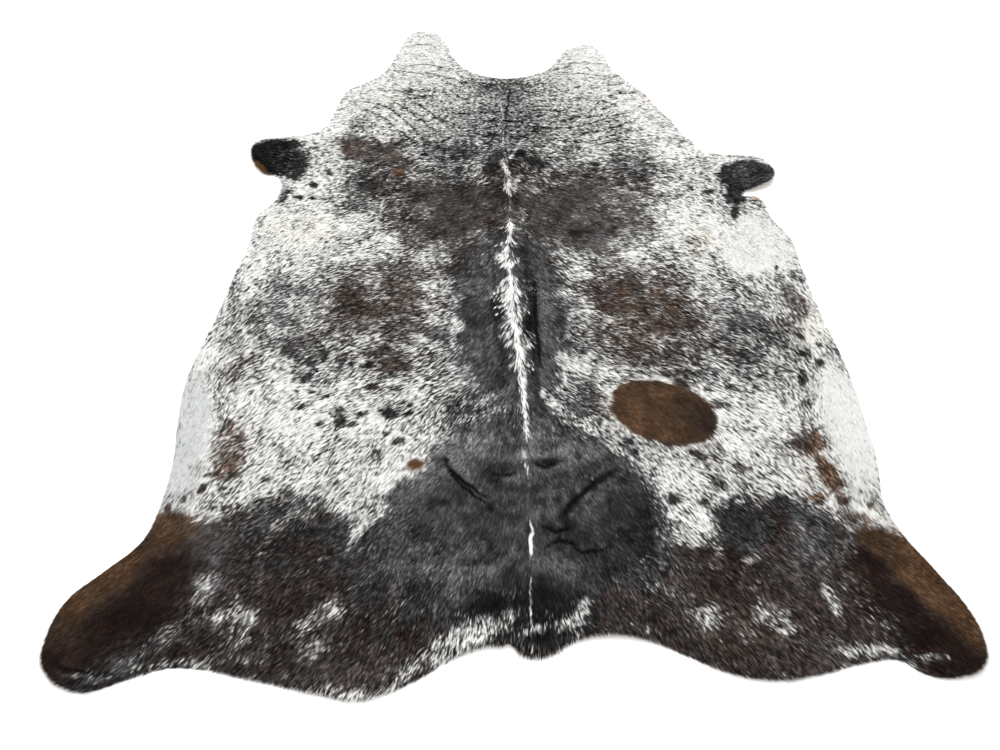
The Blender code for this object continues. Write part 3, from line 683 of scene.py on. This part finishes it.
def wrinkle_cover(x, y, wrinkle):
    """How deep each point lies in a wrinkle, from 0 at its sides and ends to 1."""
    line = bend_line(wrinkle)
    cover = np.zeros(x.shape)
    low = line.min(axis=0) - wrinkle.half_width
    high = line.max(axis=0) + wrinkle.half_width
    near = np.flatnonzero((x > low[0]) & (x < high[0]) & (y > low[1]) & (y < high[1]))
    for step in range(WRINKLE_STEPS):
        start = line[step]
        span = line[step + 1] - start
        dx = x[near] - start[0]
        dy = y[near] - start[1]
        share = np.clip((dx * span[0] + dy * span[1]) / (span @ span), 0.0, 1.0)
        off = np.hypot(dx - share * span[0], dy - share * span[1])
        along = (step + share) / WRINKLE_STEPS
        fade = 1.0 - (2.0 * along - 1.0) ** 4
        cover[near] = np.maximum(cover[near], smooth(1.0 - off / wrinkle.half_width) * fade)
    return cover


def wrinkles_at(x, y):
    """How deep the hide sinks in its wrinkles, and how far painted shade darkens the coat in them."""
    bent_x, bent_y = swayed(x, y, WRINKLE_SWAY)
    depth = np.zeros(x.shape)
    shade = np.zeros(x.shape)
    for wrinkle in WRINKLES:
        cover = wrinkle_cover(bent_x, bent_y, wrinkle)
        depth += wrinkle.depth * cover
        shade = np.maximum(shade, cover)
    wave = soft_noise(bent_x / LINE_STRETCH, bent_y, *LINE_WAVES)
    lines = smooth(1.0 - abs(wave) / LINE_WIDTH) * oval_cover(x, y, NECK_LINES)
    lines *= smooth(LINE_SHARE + soft_noise(x, y, *LINE_GAPS))
    return depth + LINE_DEPTH * lines, np.maximum(shade, lines)


def streaks(x, y, lie, seed, finer=1.0):
    """Noise drawn out along the lie of the hair, blended between a few fixed directions."""
    x, y = finer * x, finer * y
    turns = lie / math.radians(STREAK_TURN_DEG)
    value = np.zeros(x.shape)
    weight = np.zeros(x.shape)
    for turn in range(math.floor(turns.min()), math.floor(turns.max()) + 2):
        share = 1.0 - abs(turns - turn)
        near = np.flatnonzero(share > 0.0)
        angle = math.radians(turn * STREAK_TURN_DEG)
        along = x[near] * math.cos(angle) + y[near] * math.sin(angle)
        across = y[near] * math.cos(angle) - x[near] * math.sin(angle)
        noise = soft_noise(along * STREAK_WIDTH / STREAK_LENGTH, across, STREAK_WIDTH, seed + turn)
        value[near] += share[near] * noise
        weight[near] += share[near] ** 2
    return value / np.sqrt(weight)


def dark_odds(x, y, dark, lie, hair, sleek):
    """The odds that a hair is dark, as a logarithm: above 0 most hairs are dark."""
    dark = np.clip(dark, RAREST, 1.0 - RAREST)
    odds = HALF_DARK_LOOK + LOOK_SLOPE * np.log(dark / (1.0 - dark))
    long = smooth((hair - SHORT_HAIR) / (LONG_HAIR - SHORT_HAIR))
    fine = 1.0 - long
    patch = soft_noise(x, y, *PATCHES) + SMALL_PATCH_SHARE * soft_noise(x, y, *SMALL_PATCHES)
    odds += PATCHINESS * patch * long
    streak = fine * streaks(x, y, lie, FINE_SEED, FINE_STREAKS)
    streak += long * streaks(x, y, lie, LONG_SEED)
    streak /= np.hypot(fine, long)
    calm = (1.0 - SLEEK_CALM * sleek) * (1.0 - FINE_CALM * fine) * (1.0 - DARK_CALM * dark)
    return odds + STREAKINESS * calm * streak


def feather(x, y, lie):
    """How far each point lies in the white feather along the spine, from 0 to 1."""
    along = [-knot.y for knot in SPINE]
    middle = np.interp(-y, along, [knot.x for knot in SPINE])
    half = np.interp(-y, along, [knot.half_width for knot in SPINE])
    narrow = np.clip(half / FEATHER_FULL, FEATHER_LEAST, 1.0)
    inside = FEATHER_EDGE * (half - abs(x - middle)) / (FEATHER_FADE * narrow)
    inside += FEATHER_RAGS * narrow * streaks(x, y, lie, FEATHER_SEED, FEATHER_STREAKS)
    return smooth(0.5 + inside) * smooth(half / FEATHER_END)


def coat_colours(x, y, lie, hair, one_lock):
    """The painted coat at each point: the odds of dark hair, the brown and the mist with its painted
    sheen in one row, and the lean of the white hair, the tan and the lock's own tone in another.
    """
    far = swayed(x, y, FAR_SWAY)
    near = swayed(x, y, NEAR_SWAY)
    plume = feather(x, y, lie)
    # Painted shade in the wrinkles: more dark hair, less grey mist and sheen, and a darker tone.
    sunk = wrinkles_at(x, y)[1]
    sleek = painted(x, y, SLEEK)
    dark = laid_over(*near, MARKS, painted(*far, DARK, DARK_GROUND))
    dark *= 1.0 - FEATHER_WHITE * plume
    odds = dark_odds(x, y, dark, lie, hair, sleek) + WRINKLE_PAINTED_SHADE * sunk
    brown = painted(*far, BROWN, BROWN_GROUND) + BROWN_PATCHINESS * soft_noise(x, y, *BROWN_SWELLS)
    swells = soft_noise(x, y, *MIST_AND_SHEEN_SWELLS) + soft_noise(x, y, *SMALL_MIST_AND_SHEEN_SWELLS)
    mist_and_sheen = painted(*far, MIST_AND_SHEEN, MIST_AND_SHEEN_GROUND) * (1.0 - sunk) * (1.0 + MIST_AND_SHEEN_PATCHINESS * swells)
    stray = STREAK_TONE * streaks(x, y, lie, TONE_SEED) + LOCK_TONE * (one_lock - 0.5)
    tone = 0.5 + stray * (1.0 - SLEEK_TONE * sleek) + FEATHER_TONE * plume - WRINKLE_PAINTED_SHADE_TONE * sunk
    coat = np.stack((odds, np.clip(brown, 0.0, 1.0), mist_and_sheen), axis=1)
    return coat, np.stack((painted(*far, PALE, PALE_GROUND), painted(*near, TAN), tone), axis=1)


def coat_flow(x, y):
    """The direction in which the hair lies at each point, and its length."""
    outwards = np.zeros(x.shape)
    tailwards = np.zeros(x.shape)
    hair = np.zeros(x.shape)
    total = np.zeros(x.shape)
    for flow in FLOWS:
        away = ((abs(x) - flow.out) ** 2 + (y - flow.y) ** 2) / flow.reach ** 2
        weight = np.exp(-away)
        turn = math.radians(flow.turn_deg)
        outwards += weight * math.cos(turn)
        tailwards += weight * math.sin(turn)
        hair += weight * flow.hair
        total += weight
    side = np.tanh((x + SPINE_LEAN * (y - LEAN_START)) / PARTING)
    angle = np.arctan2(-tailwards, outwards * side)
    angle += LIE_SWAY * soft_noise(x, y, *LIE_SWELLS)
    angle += SMALL_LIE_SWAY * soft_noise(x, y, *SMALL_LIE_SWELLS)
    return angle, hair / total


def srgb(colour):
    """A hex colour as Blender's linear red, green, blue and alpha."""
    parts = [int(colour[place:place + 2], 16) / 255.0 for place in (1, 3, 5)]
    linear = [
        part / 12.92 if part <= 0.04045 else ((part + 0.055) / 1.055) ** 2.4 for part in parts]
    return (*linear, 1.0)


def set_inputs(tree, node, inputs):
    """Link or set a node's inputs; a node among them stands for its first live output."""
    for socket, source in inputs.items():
        if isinstance(source, bpy.types.Node):
            source = next(output for output in source.outputs if output.enabled)
        if isinstance(source, bpy.types.NodeSocket):
            tree.links.new(source, node.inputs[socket])
        else:
            node.inputs[socket].default_value = source


def add_node(tree, kind, inputs, stops=(), **settings):
    """Add a node with its settings and links, and a ramp's stops of a place and a hex colour."""
    node = tree.nodes.new(kind)
    for name, value in settings.items():
        setattr(node, name, value)
    set_inputs(tree, node, inputs)
    if stops:
        marks = node.color_ramp.elements
        while len(marks) < len(stops):
            marks.new(0.5)
        for mark, (place, colour) in zip(marks, stops):
            mark.position = place
            mark.color = srgb(colour)
    return node


def new_material(name):
    """A material with its node tree and its surface shader."""
    material = bpy.data.materials.new(name)
    material.use_nodes = True
    tree = material.node_tree
    return material, tree, tree.nodes["Principled BSDF"]


def hair_material():
    """Hair-on cowhide: short glossy straight hair, salt and pepper with brown.

    The nodes read where a hair shows and what is painted there. White hair is nearly clear
    and hollow, so it looks cold white over pink skin. Dark hair is full of pigment and shines.
    """
    material, tree, shader = new_material("hair_on_cowhide")
    seen, coat, hair, tints = [
        add_node(tree, "ShaderNodeAttribute", {}, attribute_name=name).outputs["Vector"]
        for name in ("seen", "coat", "hair", "tints")]
    (odds, brown, mist_and_sheen), (chance, along, across), (pale, tan, tone) = [
        add_node(tree, "ShaderNodeSeparateXYZ", {0: vector}).outputs
        for vector in (coat, hair, tints)]

    # Single hairs of 0.1 mm are too fine to show, so a lock is drawn as about six strands.
    # Along the lock they change little, and from lock to lock they are all new.
    strand_place = add_node(tree, "ShaderNodeCombineXYZ", {0: across, 1: along, 2: chance})
    strand_scale = add_node(
        tree, "ShaderNodeVectorMath", {0: strand_place, 1: (6.0, 1.2, 90.0)},
        operation="MULTIPLY")
    strands = add_node(tree, "ShaderNodeTexNoise", {"Vector": strand_scale, "Scale": 1.0})

    # The odds of a dark hair stray from fleck to fleck (8 mm), lock to lock and strand to strand.
    flecks = add_node(
        tree, "ShaderNodeTexNoise", {"Vector": seen, "Scale": 1.0 / FLECK_SIZE, "Detail": 2.0})
    spreads = ((flecks, FLECK_ODDS), (chance, LOCK_ODDS), (strands, STRAND_ODDS))
    for source, spread in spreads:
        odds = add_node(
            tree, "ShaderNodeMath", {0: source, 1: spread, 2: odds}, operation="MULTIPLY_ADD")
    half_spread = 0.5 * sum(spread for _, spread in spreads)
    settled = add_node(tree, "ShaderNodeMath", {0: half_spread, 1: odds}, operation="SUBTRACT")
    white_for_dark = add_node(tree, "ShaderNodeMath", {0: settled}, operation="EXPONENT")
    all_for_dark = add_node(tree, "ShaderNodeMath", {0: white_for_dark, 1: 1.0}, operation="ADD")
    is_dark = add_node(tree, "ShaderNodeMath", {0: 1.0, 1: all_for_dark}, operation="DIVIDE")

    # White hair, from cold to cream, each streak a little lighter or greyer than the next.
    # At the left belly's edge the greyer cold end of this ramp is painted shade.
    plain = add_node(
        tree, "ShaderNodeValToRGB", {"Fac": pale},
        [(0.0, "#d5d7d7"), (0.25, "#e9eae8"), (0.5, "#f6f6f4"), (1.0, "#f1ecdc")])
    greyed = add_node(
        tree, "ShaderNodeValToRGB", {"Fac": tone},
        [(0.1, "#d2d2d1"), (0.4, "#f6f6f5"), (0.7, "#ffffff")])
    white = add_node(
        tree, "ShaderNodeMix", {"Factor": 1.0, "A": plain, "B": greyed},
        data_type="RGBA", blend_type="MULTIPLY")

    # Dark hair: black, brown black or chestnut, with fine white hairs and a painted grey sheen mixed
    # in, mottled in swells of 30 mm, and one lock much lighter than the next.
    pigment = add_node(
        tree, "ShaderNodeValToRGB", {"Fac": brown},
        [(0.0, "#0a0a0b"), (0.15, "#121212"), (0.3, "#180d09"), (0.5, "#231915"),
         (0.7, "#2f241d"), (0.85, "#3b2c1f"), (1.0, "#4f3a29")])
    # The grey of fine white hairs and of painted sheen, added to the pigment.
    white_hairs_and_sheen = add_node(
        tree, "ShaderNodeMix", {"Factor": mist_and_sheen, "A": pigment, "B": srgb("#5e5f60")},
        data_type="RGBA", blend_type="ADD")
    mottle = add_node(
        tree, "ShaderNodeTexNoise", {"Vector": seen, "Scale": 1.0 / MOTTLE_SIZE, "Detail": 4.0})
    mottled = add_node(
        tree, "ShaderNodeMapRange",
        {"Value": mottle, "From Min": 0.3, "From Max": 0.7, "To Min": 0.70, "To Max": 1.30})
    stray = add_node(tree, "ShaderNodeMath", {0: tone, 1: 0.5}, operation="SUBTRACT")
    one_by_one = add_node(
        tree, "ShaderNodeMath", {0: TONE_CONTRAST, 1: stray}, operation="POWER")
    shaded = add_node(tree, "ShaderNodeMath", {0: mottled, 1: one_by_one}, operation="MULTIPLY")
    dark = add_node(tree, "ShaderNodeVectorMath", {0: white_hairs_and_sheen, "Scale": shaded}, operation="SCALE")
    coloured = add_node(
        tree, "ShaderNodeMix", {"Factor": is_dark, "A": white, "B": dark}, data_type="RGBA")
    tanned = add_node(
        tree, "ShaderNodeMix", {"Factor": tan, "A": coloured, "B": srgb("#5c3f25")},
        data_type="RGBA")

    strand_light = add_node(
        tree, "ShaderNodeMapRange",
        {"Value": strands, "From Min": 0.3, "From Max": 0.7, "To Min": 0.80, "To Max": 1.15})
    finished = add_node(
        tree, "ShaderNodeVectorMath", {0: tanned, "Scale": strand_light}, operation="SCALE")
    relief = add_node(
        tree, "ShaderNodeBump", {"Height": strands, "Distance": 0.0002, "Strength": 0.5})
    set_inputs(tree, shader, {
        "Base Color": finished, "Normal": relief,
        "Roughness": 0.50, "IOR": 1.5, "Specular IOR Level": 0.03})
    return material


def leather(name, fibre, stain, detail, relief, stops, finish):
    """A leather with its fibres in relief and its stains, both sized in metres."""
    material, tree, shader = new_material(name)
    place = add_node(tree, "ShaderNodeTexCoord", {}).outputs["Object"]
    fibres = add_node(
        tree, "ShaderNodeTexNoise", {"Vector": place, "Scale": 1.0 / fibre, "Detail": 3.0})
    stains = add_node(
        tree, "ShaderNodeTexNoise", {"Vector": place, "Scale": 1.0 / stain, "Detail": detail})
    colour = add_node(tree, "ShaderNodeValToRGB", {"Fac": stains}, stops)
    bump = add_node(
        tree, "ShaderNodeBump", {"Height": fibres, "Distance": 0.0004, "Strength": relief})
    set_inputs(tree, shader, {"Base Color": colour, "Normal": bump, **finish})
    return material


def cut_leather_material():
    """Chrome-tanned leather, cut through at the hide's edge: red brown and fibrous.

    Its fibre bundles are 1.5 mm wide, and its stains about 35 mm.
    """
    return leather(
        "cut_leather_edge", fibre=0.0015, stain=0.035, detail=2.0, relief=0.6,
        stops=[(0.3, "#8c604a"), (0.5, "#b18a71"), (0.7, "#cfb29c")],
        finish={"Roughness": 0.72, "IOR": 1.5})


def suede_material():
    """Suede split: the hide's flesh side, buffed to a short beige nap with paler brush marks.

    The nap stands in tufts of 0.9 mm, and the brush marks are about 60 mm across.
    """
    return leather(
        "suede_flesh_side", fibre=0.0009, stain=0.060, detail=5.0, relief=0.7,
        stops=[(0.3, "#a98f76"), (0.5, "#bfa68c"), (0.72, "#d0bca4")],
        finish={"Roughness": 0.92, "Sheen Weight": 0.25, "Sheen Roughness": 0.5})


def add_object(name, data):
    """Put an object around its data into the scene."""
    thing = bpy.data.objects.new(name, data)
    bpy.context.scene.collection.objects.link(thing)
    return thing


def is_wrinkled(point):
    """Whether a point lies where the hide is finely wrinkled: on the neck or the rump."""
    middle, half_width, low, high = FINE_RUMP
    on_rump = abs(point.x - middle) < half_width and low < point.y < high
    return point.y > FINE_NECK or on_rump


def fine_hide_mesh():
    """The solid's own mesh, merged, with smaller faces where the hide is finely wrinkled."""
    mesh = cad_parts["cowhide"].data.copy()
    bm = bmesh.new()
    bm.from_mesh(mesh)
    bmesh.ops.remove_doubles(bm, verts=bm.verts, dist=MERGE_DISTANCE)
    bm.normal_update()
    edges = set()
    for face in bm.faces:
        if face.normal.z > UPWARD and is_wrinkled(face.calc_center_median()):
            edges.update(edge for edge in face.edges if edge.calc_length() > FINE_EDGE)
    bmesh.ops.subdivide_edges(bm, edges=list(edges), cuts=FINE_CUTS, use_grid_fill=True)
    bmesh.ops.triangulate(bm, faces=bm.faces)
    bm.to_mesh(mesh)
    bm.free()
    return mesh


def rounded(mesh):
    """The mesh with its faces split once and its folds rounded."""
    draft = add_object("hide_draft", mesh)
    finer = draft.modifiers.new("rounded folds", "SUBSURF")
    finer.levels = 1
    finer.render_levels = 1
    view = bpy.context.evaluated_depsgraph_get()
    made = bpy.data.meshes.new_from_object(draft.evaluated_get(view))
    bpy.data.objects.remove(draft, do_unlink=True)
    return made


def corner_vectors(mesh, kind):
    """The places ("co") or the normals ("normal") of a mesh's corners, one row each."""
    flat = np.empty(len(mesh.vertices) * 3, np.float32)
    mesh.vertices.foreach_get(kind, flat)
    return flat.reshape(-1, 3).astype(float)


def sink_wrinkles(mesh):
    """Lower the hair side of the sheet in its wrinkles."""
    points = corner_vectors(mesh, "co")
    rising = corner_vectors(mesh, "normal")[:, 2] > LEVEL
    height = points[:, 2]
    depth = np.minimum(wrinkles_at(points[:, 0], points[:, 1])[0], WRINKLE_ROOM)
    sunk = np.minimum(height, np.maximum(height - depth, LEAST_HEIGHT))
    points[:, 2] = np.where(rising & (depth > 0.0), sunk, height)
    mesh.vertices.foreach_set("co", points.astype(np.float32).ravel())
    mesh.update()


def store(mesh, name, values):
    """Keep one vector for each corner of a mesh under a name that its material reads."""
    attribute = mesh.attributes.new(name, "FLOAT_VECTOR", "POINT")
    attribute.data.foreach_set("vector", values.astype(np.float32).ravel())


def cut_edge(mesh):
    """The faces of the hide's cut edge: steep ones with bare floor just past them."""
    places = [corner.co for corner in mesh.vertices]
    sheet = BVHTree.FromPolygons(places, [face.vertices for face in mesh.polygons])
    faces = set()
    for face in mesh.polygons:
        past = face.center + RIM_WIDTH * face.normal
        if abs(face.normal.z) < UPWARD and sheet.ray_cast((past.x, past.y, 1.0), DOWN)[0] is None:
            faces.add(face.index)
    return faces


def rim_tree(mesh, cut):
    """A search tree over the corners of the hide's cut edge."""
    sides = {corner for face in cut for corner in mesh.polygons[face].vertices}
    tree = KDTree(len(sides))
    for place in sides:
        corner = mesh.vertices[place].co
        tree.insert((corner.x, corner.y, 0.0), place)
    tree.balance()
    return tree


def bare_width(x, y):
    """How wide a strip of leather shows at a point of the rim."""
    width = 0.0
    for bare in BARE_RIMS:
        away = math.hypot(x - bare.x, y - bare.y) / bare.reach
        width = max(width, bare.width * (1.0 - away ** 2))
    return width


def set_faces(mesh, cut, tree):
    """Give the cut edge and the bare rim their leather, and the underside its suede."""
    for face in mesh.polygons:
        rim, _, inset = tree.find((face.center.x, face.center.y, 0.0))
        bare = face.normal.z > 0.0 and inset < bare_width(rim.x, rim.y)
        if face.index in cut or bare:
            face.material_index = LEATHER
        elif face.normal.z < -UPWARD:
            face.material_index = SUEDE


def add_bake_map(mesh, places):
    """Give the sheet a flat map, its underside laid beside its hair side."""
    corners = np.empty(len(mesh.loops), int)
    mesh.loops.foreach_get("vertex_index", corners)
    falling = np.zeros(len(mesh.loops), bool)
    for face in mesh.polygons:
        if face.material_index == SUEDE:
            falling[list(face.loop_indices)] = True
    low = places.min(axis=0)
    span = (places.max(axis=0) - low) * MAP_MARGIN
    flat = (places[corners] - low) / span
    flat[:, 0] = flat[:, 0] / 2.0 + np.where(falling, 0.5, 0.0)
    layer = mesh.uv_layers.new(name="OFBake")
    layer.data.foreach_set("uv", flat.astype(np.float32).ravel())


def make_hide(materials):
    """The tanned hide: a thin sheet with its hair side, its cut edge and its suede side."""
    mesh = rounded(fine_hide_mesh())
    sink_wrinkles(mesh)
    mesh.name = "tanned_hide"
    mesh.materials.clear()
    for material in materials:
        mesh.materials.append(material)
    cut = cut_edge(mesh)
    tree = rim_tree(mesh, cut)
    set_faces(mesh, cut, tree)
    mesh.shade_smooth()
    points = corner_vectors(mesh, "co")
    lie, hair = coat_flow(points[:, 0], points[:, 1])
    coat, tints = coat_colours(points[:, 0], points[:, 1], lie, hair, 0.5)
    plain_hair = np.tile(MIDDLING_HAIR, (len(points), 1))
    for name, values in (("seen", points), ("coat", coat), ("tints", tints), ("hair", plain_hair)):
        store(mesh, name, values)
    add_bake_map(mesh, points[:, :2])
    return add_object("tanned_hide", mesh), tree


def lock_roots(mesh, chance):
    """Even places for the roots of the locks over the hair side, with the hide's normals."""
    mesh.calc_loop_triangles()
    corners = np.empty(len(mesh.loop_triangles) * 3, int)
    mesh.loop_triangles.foreach_get("vertices", corners)
    corners = corners.reshape(-1, 3)
    points = corner_vectors(mesh, "co")
    normals = corner_vectors(mesh, "normal")
    first, second, third = points[corners.T]
    face_cross = np.cross(second - first, third - first)
    area = np.linalg.norm(face_cross, axis=1) / 2.0
    upward = face_cross[:, 2] > UPWARD * 2.0 * area
    wanted = area * LOCKS_PER_SQUARE_METRE * upward
    counts = np.floor(wanted + chance.random(len(wanted))).astype(int)
    owner = np.repeat(corners, counts, axis=0)
    u, v = ((np.arange(len(owner)) * step) % 1.0 for step in PLASTIC_STEPS)
    over = u + v > 1.0
    u[over], v[over] = 1.0 - u[over], 1.0 - v[over]
    shares = np.stack((1.0 - u - v, u, v), axis=1)[:, :, None]
    roots = (points[owner] * shares).sum(axis=1)
    ups = (normals[owner] * shares).sum(axis=1)
    return roots, ups / np.linalg.norm(ups, axis=1)[:, None]


def rim_facts(roots, tree):
    """For each root: the nearest point of the rim, how far in it lies, and the bare width."""
    facts = np.zeros((len(roots), 4))
    for place, (x, y, _) in enumerate(roots):
        rim, _, inset = tree.find((x, y, 0.0))
        facts[place, :3] = (rim.x, rim.y, inset)
    for place in np.flatnonzero(facts[:, 2] < NEAR_RIM):
        facts[place, 3] = bare_width(facts[place, 0], facts[place, 1])
    return facts


def droop_over_rim(corners, roots, facts):
    """Let the hair that reaches past the cut edge hang towards the floor."""
    outward = facts[:, :2] - roots[:, :2]
    outward /= np.maximum(np.linalg.norm(outward, axis=1), 1e-6)[:, None]
    for place in range(3):
        ahead = ((corners[:, place, :2] - facts[:, :2]) * outward).sum(axis=1)
        corners[:, place, 2] -= DROOP * np.clip(ahead, 0.0, NEAR_RIM)
        corners[:, place, 2] = np.maximum(corners[:, place, 2], FLOOR_GAP)


def make_locks(hide, tree):
    """All locks of the coat, as three corners each: one side of the root, the tip, the other."""
    chance = np.random.default_rng(SEED)
    roots, ups = lock_roots(hide.data, chance)
    facts = rim_facts(roots, tree)
    kept = facts[:, 2] > facts[:, 3]
    roots, ups, facts = roots[kept], ups[kept], facts[kept]
    x, y = roots[:, 0], roots[:, 1]
    inset, bare = facts[:, 2], facts[:, 3]
    count = len(roots)
    lie, hair = coat_flow(x, y)
    angle = lie + chance.normal(0.0, LIE_SCATTER, count)
    run = np.stack((np.cos(angle), np.sin(angle), np.zeros(count)), axis=1)
    run -= ups * (run * ups).sum(axis=1)[:, None]
    run /= np.linalg.norm(run, axis=1)[:, None]
    side = np.cross(ups, run)
    tuft = painted(x, y, TUFTS) / 1000
    length = hair + tuft * chance.uniform(*TUFT_SPREAD, count)
    length *= chance.uniform(*LENGTH_SPREAD, count)
    length *= 1.0 + smooth(1.0 - inset / FUZZ_REACH) * chance.uniform(-FUZZ, FUZZ, count)
    room = np.maximum(inset - BARE_LEFT * bare + BARE_SLACK, LEAST_HAIR)
    length = np.where(bare > 0.0, np.minimum(length, room), length)
    half = 0.5 * LOCK_WIDTH * chance.uniform(*WIDTH_SPREAD, count)[:, None] * side
    loft = chance.uniform(*LOFT_SPREAD, count) * (1.0 - SLEEK_RISE * painted(x, y, SLEEK))
    loft += TUFT_RISE * tuft
    roll = (chance.uniform(-ROLL, ROLL, count) * loft)[:, None] * ups
    tip = roots + length[:, None] * run + (TIP_RISE * loft)[:, None] * ups
    sunk = roots - ROOT_SINK * ups
    corners = np.stack((sunk - half + roll, tip, sunk + half - roll), axis=1)
    droop_over_rim(corners, roots, facts)
    seen = roots + SEEN_SHARE * (corners[:, 1] - roots)
    coat, tints = coat_colours(seen[:, 0], seen[:, 1], lie, hair, chance.random(count))
    return {"corners": corners, "seen": seen, "coat": coat, "tints": tints,
            "chance": chance.random(count), "piece": chance.integers(0, COAT_PIECES, count)}


def bake_cells(roots):
    """One small square of the bake map for each lock, neighbours on the hide staying near."""
    rows = math.ceil(math.sqrt(len(roots)))
    cell = np.empty((len(roots), 2), int)
    by_x = np.argsort(roots[:, 0], kind="stable")
    for column in range(rows):
        group = by_x[column * rows:(column + 1) * rows]
        group = group[np.argsort(roots[group, 1], kind="stable")]
        cell[group, 0] = column
        cell[group, 1] = np.arange(len(group))
    return cell, rows


def coat_piece(name, locks, material):
    """One piece of the coat: its locks joined into a single mesh."""
    corners = locks["corners"]
    count = len(corners)
    order = np.arange(count * 3, dtype=np.int32)
    mesh = bpy.data.meshes.new(name)
    mesh.vertices.add(count * 3)
    mesh.vertices.foreach_set("co", corners.astype(np.float32).ravel())
    mesh.loops.add(count * 3)
    mesh.loops.foreach_set("vertex_index", order)
    mesh.polygons.add(count)
    mesh.polygons.foreach_set("loop_start", order[::3])
    cell, rows = bake_cells(locks["seen"])
    spread = (cell[:, None, :] + LOCK_SPOTS) / rows
    layer = mesh.uv_layers.new(name="OFBake")
    layer.data.foreach_set("uv", spread.astype(np.float32).ravel())
    mesh.update(calc_edges=True)
    hair = np.empty((count, 3, 3))
    hair[:, :, 0] = locks["chance"][:, None]
    hair[:, :, 1:] = LOCK_SPOTS[:, ::-1]
    store(mesh, "hair", hair)
    for key in ("seen", "coat", "tints"):
        store(mesh, key, np.repeat(locks[key], 3, axis=0))
    mesh.materials.append(material)
    return add_object(name, mesh)


def make_coat(hide, tree, material):
    """The coat in a few pieces, each spread over the whole hide."""
    locks = make_locks(hide, tree)
    pieces = []
    for number in range(COAT_PIECES):
        pick = locks["piece"] == number
        chosen = {key: values[pick] for key, values in locks.items()}
        pieces.append(coat_piece(f"coat_hair_{number + 1}", chosen, material))
    return pieces


def make_floor():
    """A plain pale studio floor."""
    mesh = bpy.data.meshes.new("studio_floor")
    bm = bmesh.new()
    bmesh.ops.create_grid(bm, x_segments=1, y_segments=1, size=9.0)
    bm.to_mesh(mesh)
    bm.free()
    material, tree, shader = new_material("pale_floor")
    set_inputs(tree, shader, {
        "Base Color": srgb(PALE_STUDIO), "Roughness": 0.9, "Specular IOR Level": 0.1})
    mesh.materials.append(material)
    floor = add_object("studio_floor", mesh)


def soft_light(name, place, size, watts):
    """A square soft box that faces the middle of the rug."""
    lamp = bpy.data.lights.new(name, "AREA")
    lamp.size = size
    lamp.energy = watts
    light = add_object(name, lamp)
    light.location = place
    light.rotation_euler = (-Vector(place)).to_track_quat("-Z", "Y").to_euler()


def make_light():
    """Soft studio light: a pale room, a wide box overhead and a lower one past the neck."""
    world = bpy.data.worlds.new("pale_room")
    world.use_nodes = True
    sky = world.node_tree.nodes["Background"]
    set_inputs(world.node_tree, sky, {"Color": srgb(PALE_STUDIO), "Strength": 1.05})
    bpy.context.scene.world = world
    soft_light("overhead", place=(-0.6, 0.6, 3.4), size=2.2, watts=86.0)
    soft_light("far_window", place=(0.8, 3.2, 2.2), size=1.8, watts=80.0)


def make_camera():
    """The photograph's view: held at standing height at the tail end, looking down."""
    lens = bpy.data.cameras.new("photo_view")
    lens.sensor_width = SENSOR_MM
    lens.lens = CAMERA_LENS_MM
    camera = add_object("photo_view", lens)
    camera.location = CAMERA_PLACE
    camera.rotation_euler = (math.radians(CAMERA_PITCH_DEG), 0.0, 0.0)
    bpy.context.scene.camera = camera


make_camera()
make_light()
make_floor()
bpy.context.scene.view_settings.view_transform = "Standard"

hair_on_cowhide = hair_material()
hide, hide_rim = make_hide([hair_on_cowhide, cut_leather_material(), suede_material()])
coat = make_coat(hide, hide_rim, hair_on_cowhide)

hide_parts("cowhide")
for piece in [hide, *coat]:
    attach(piece, "root")
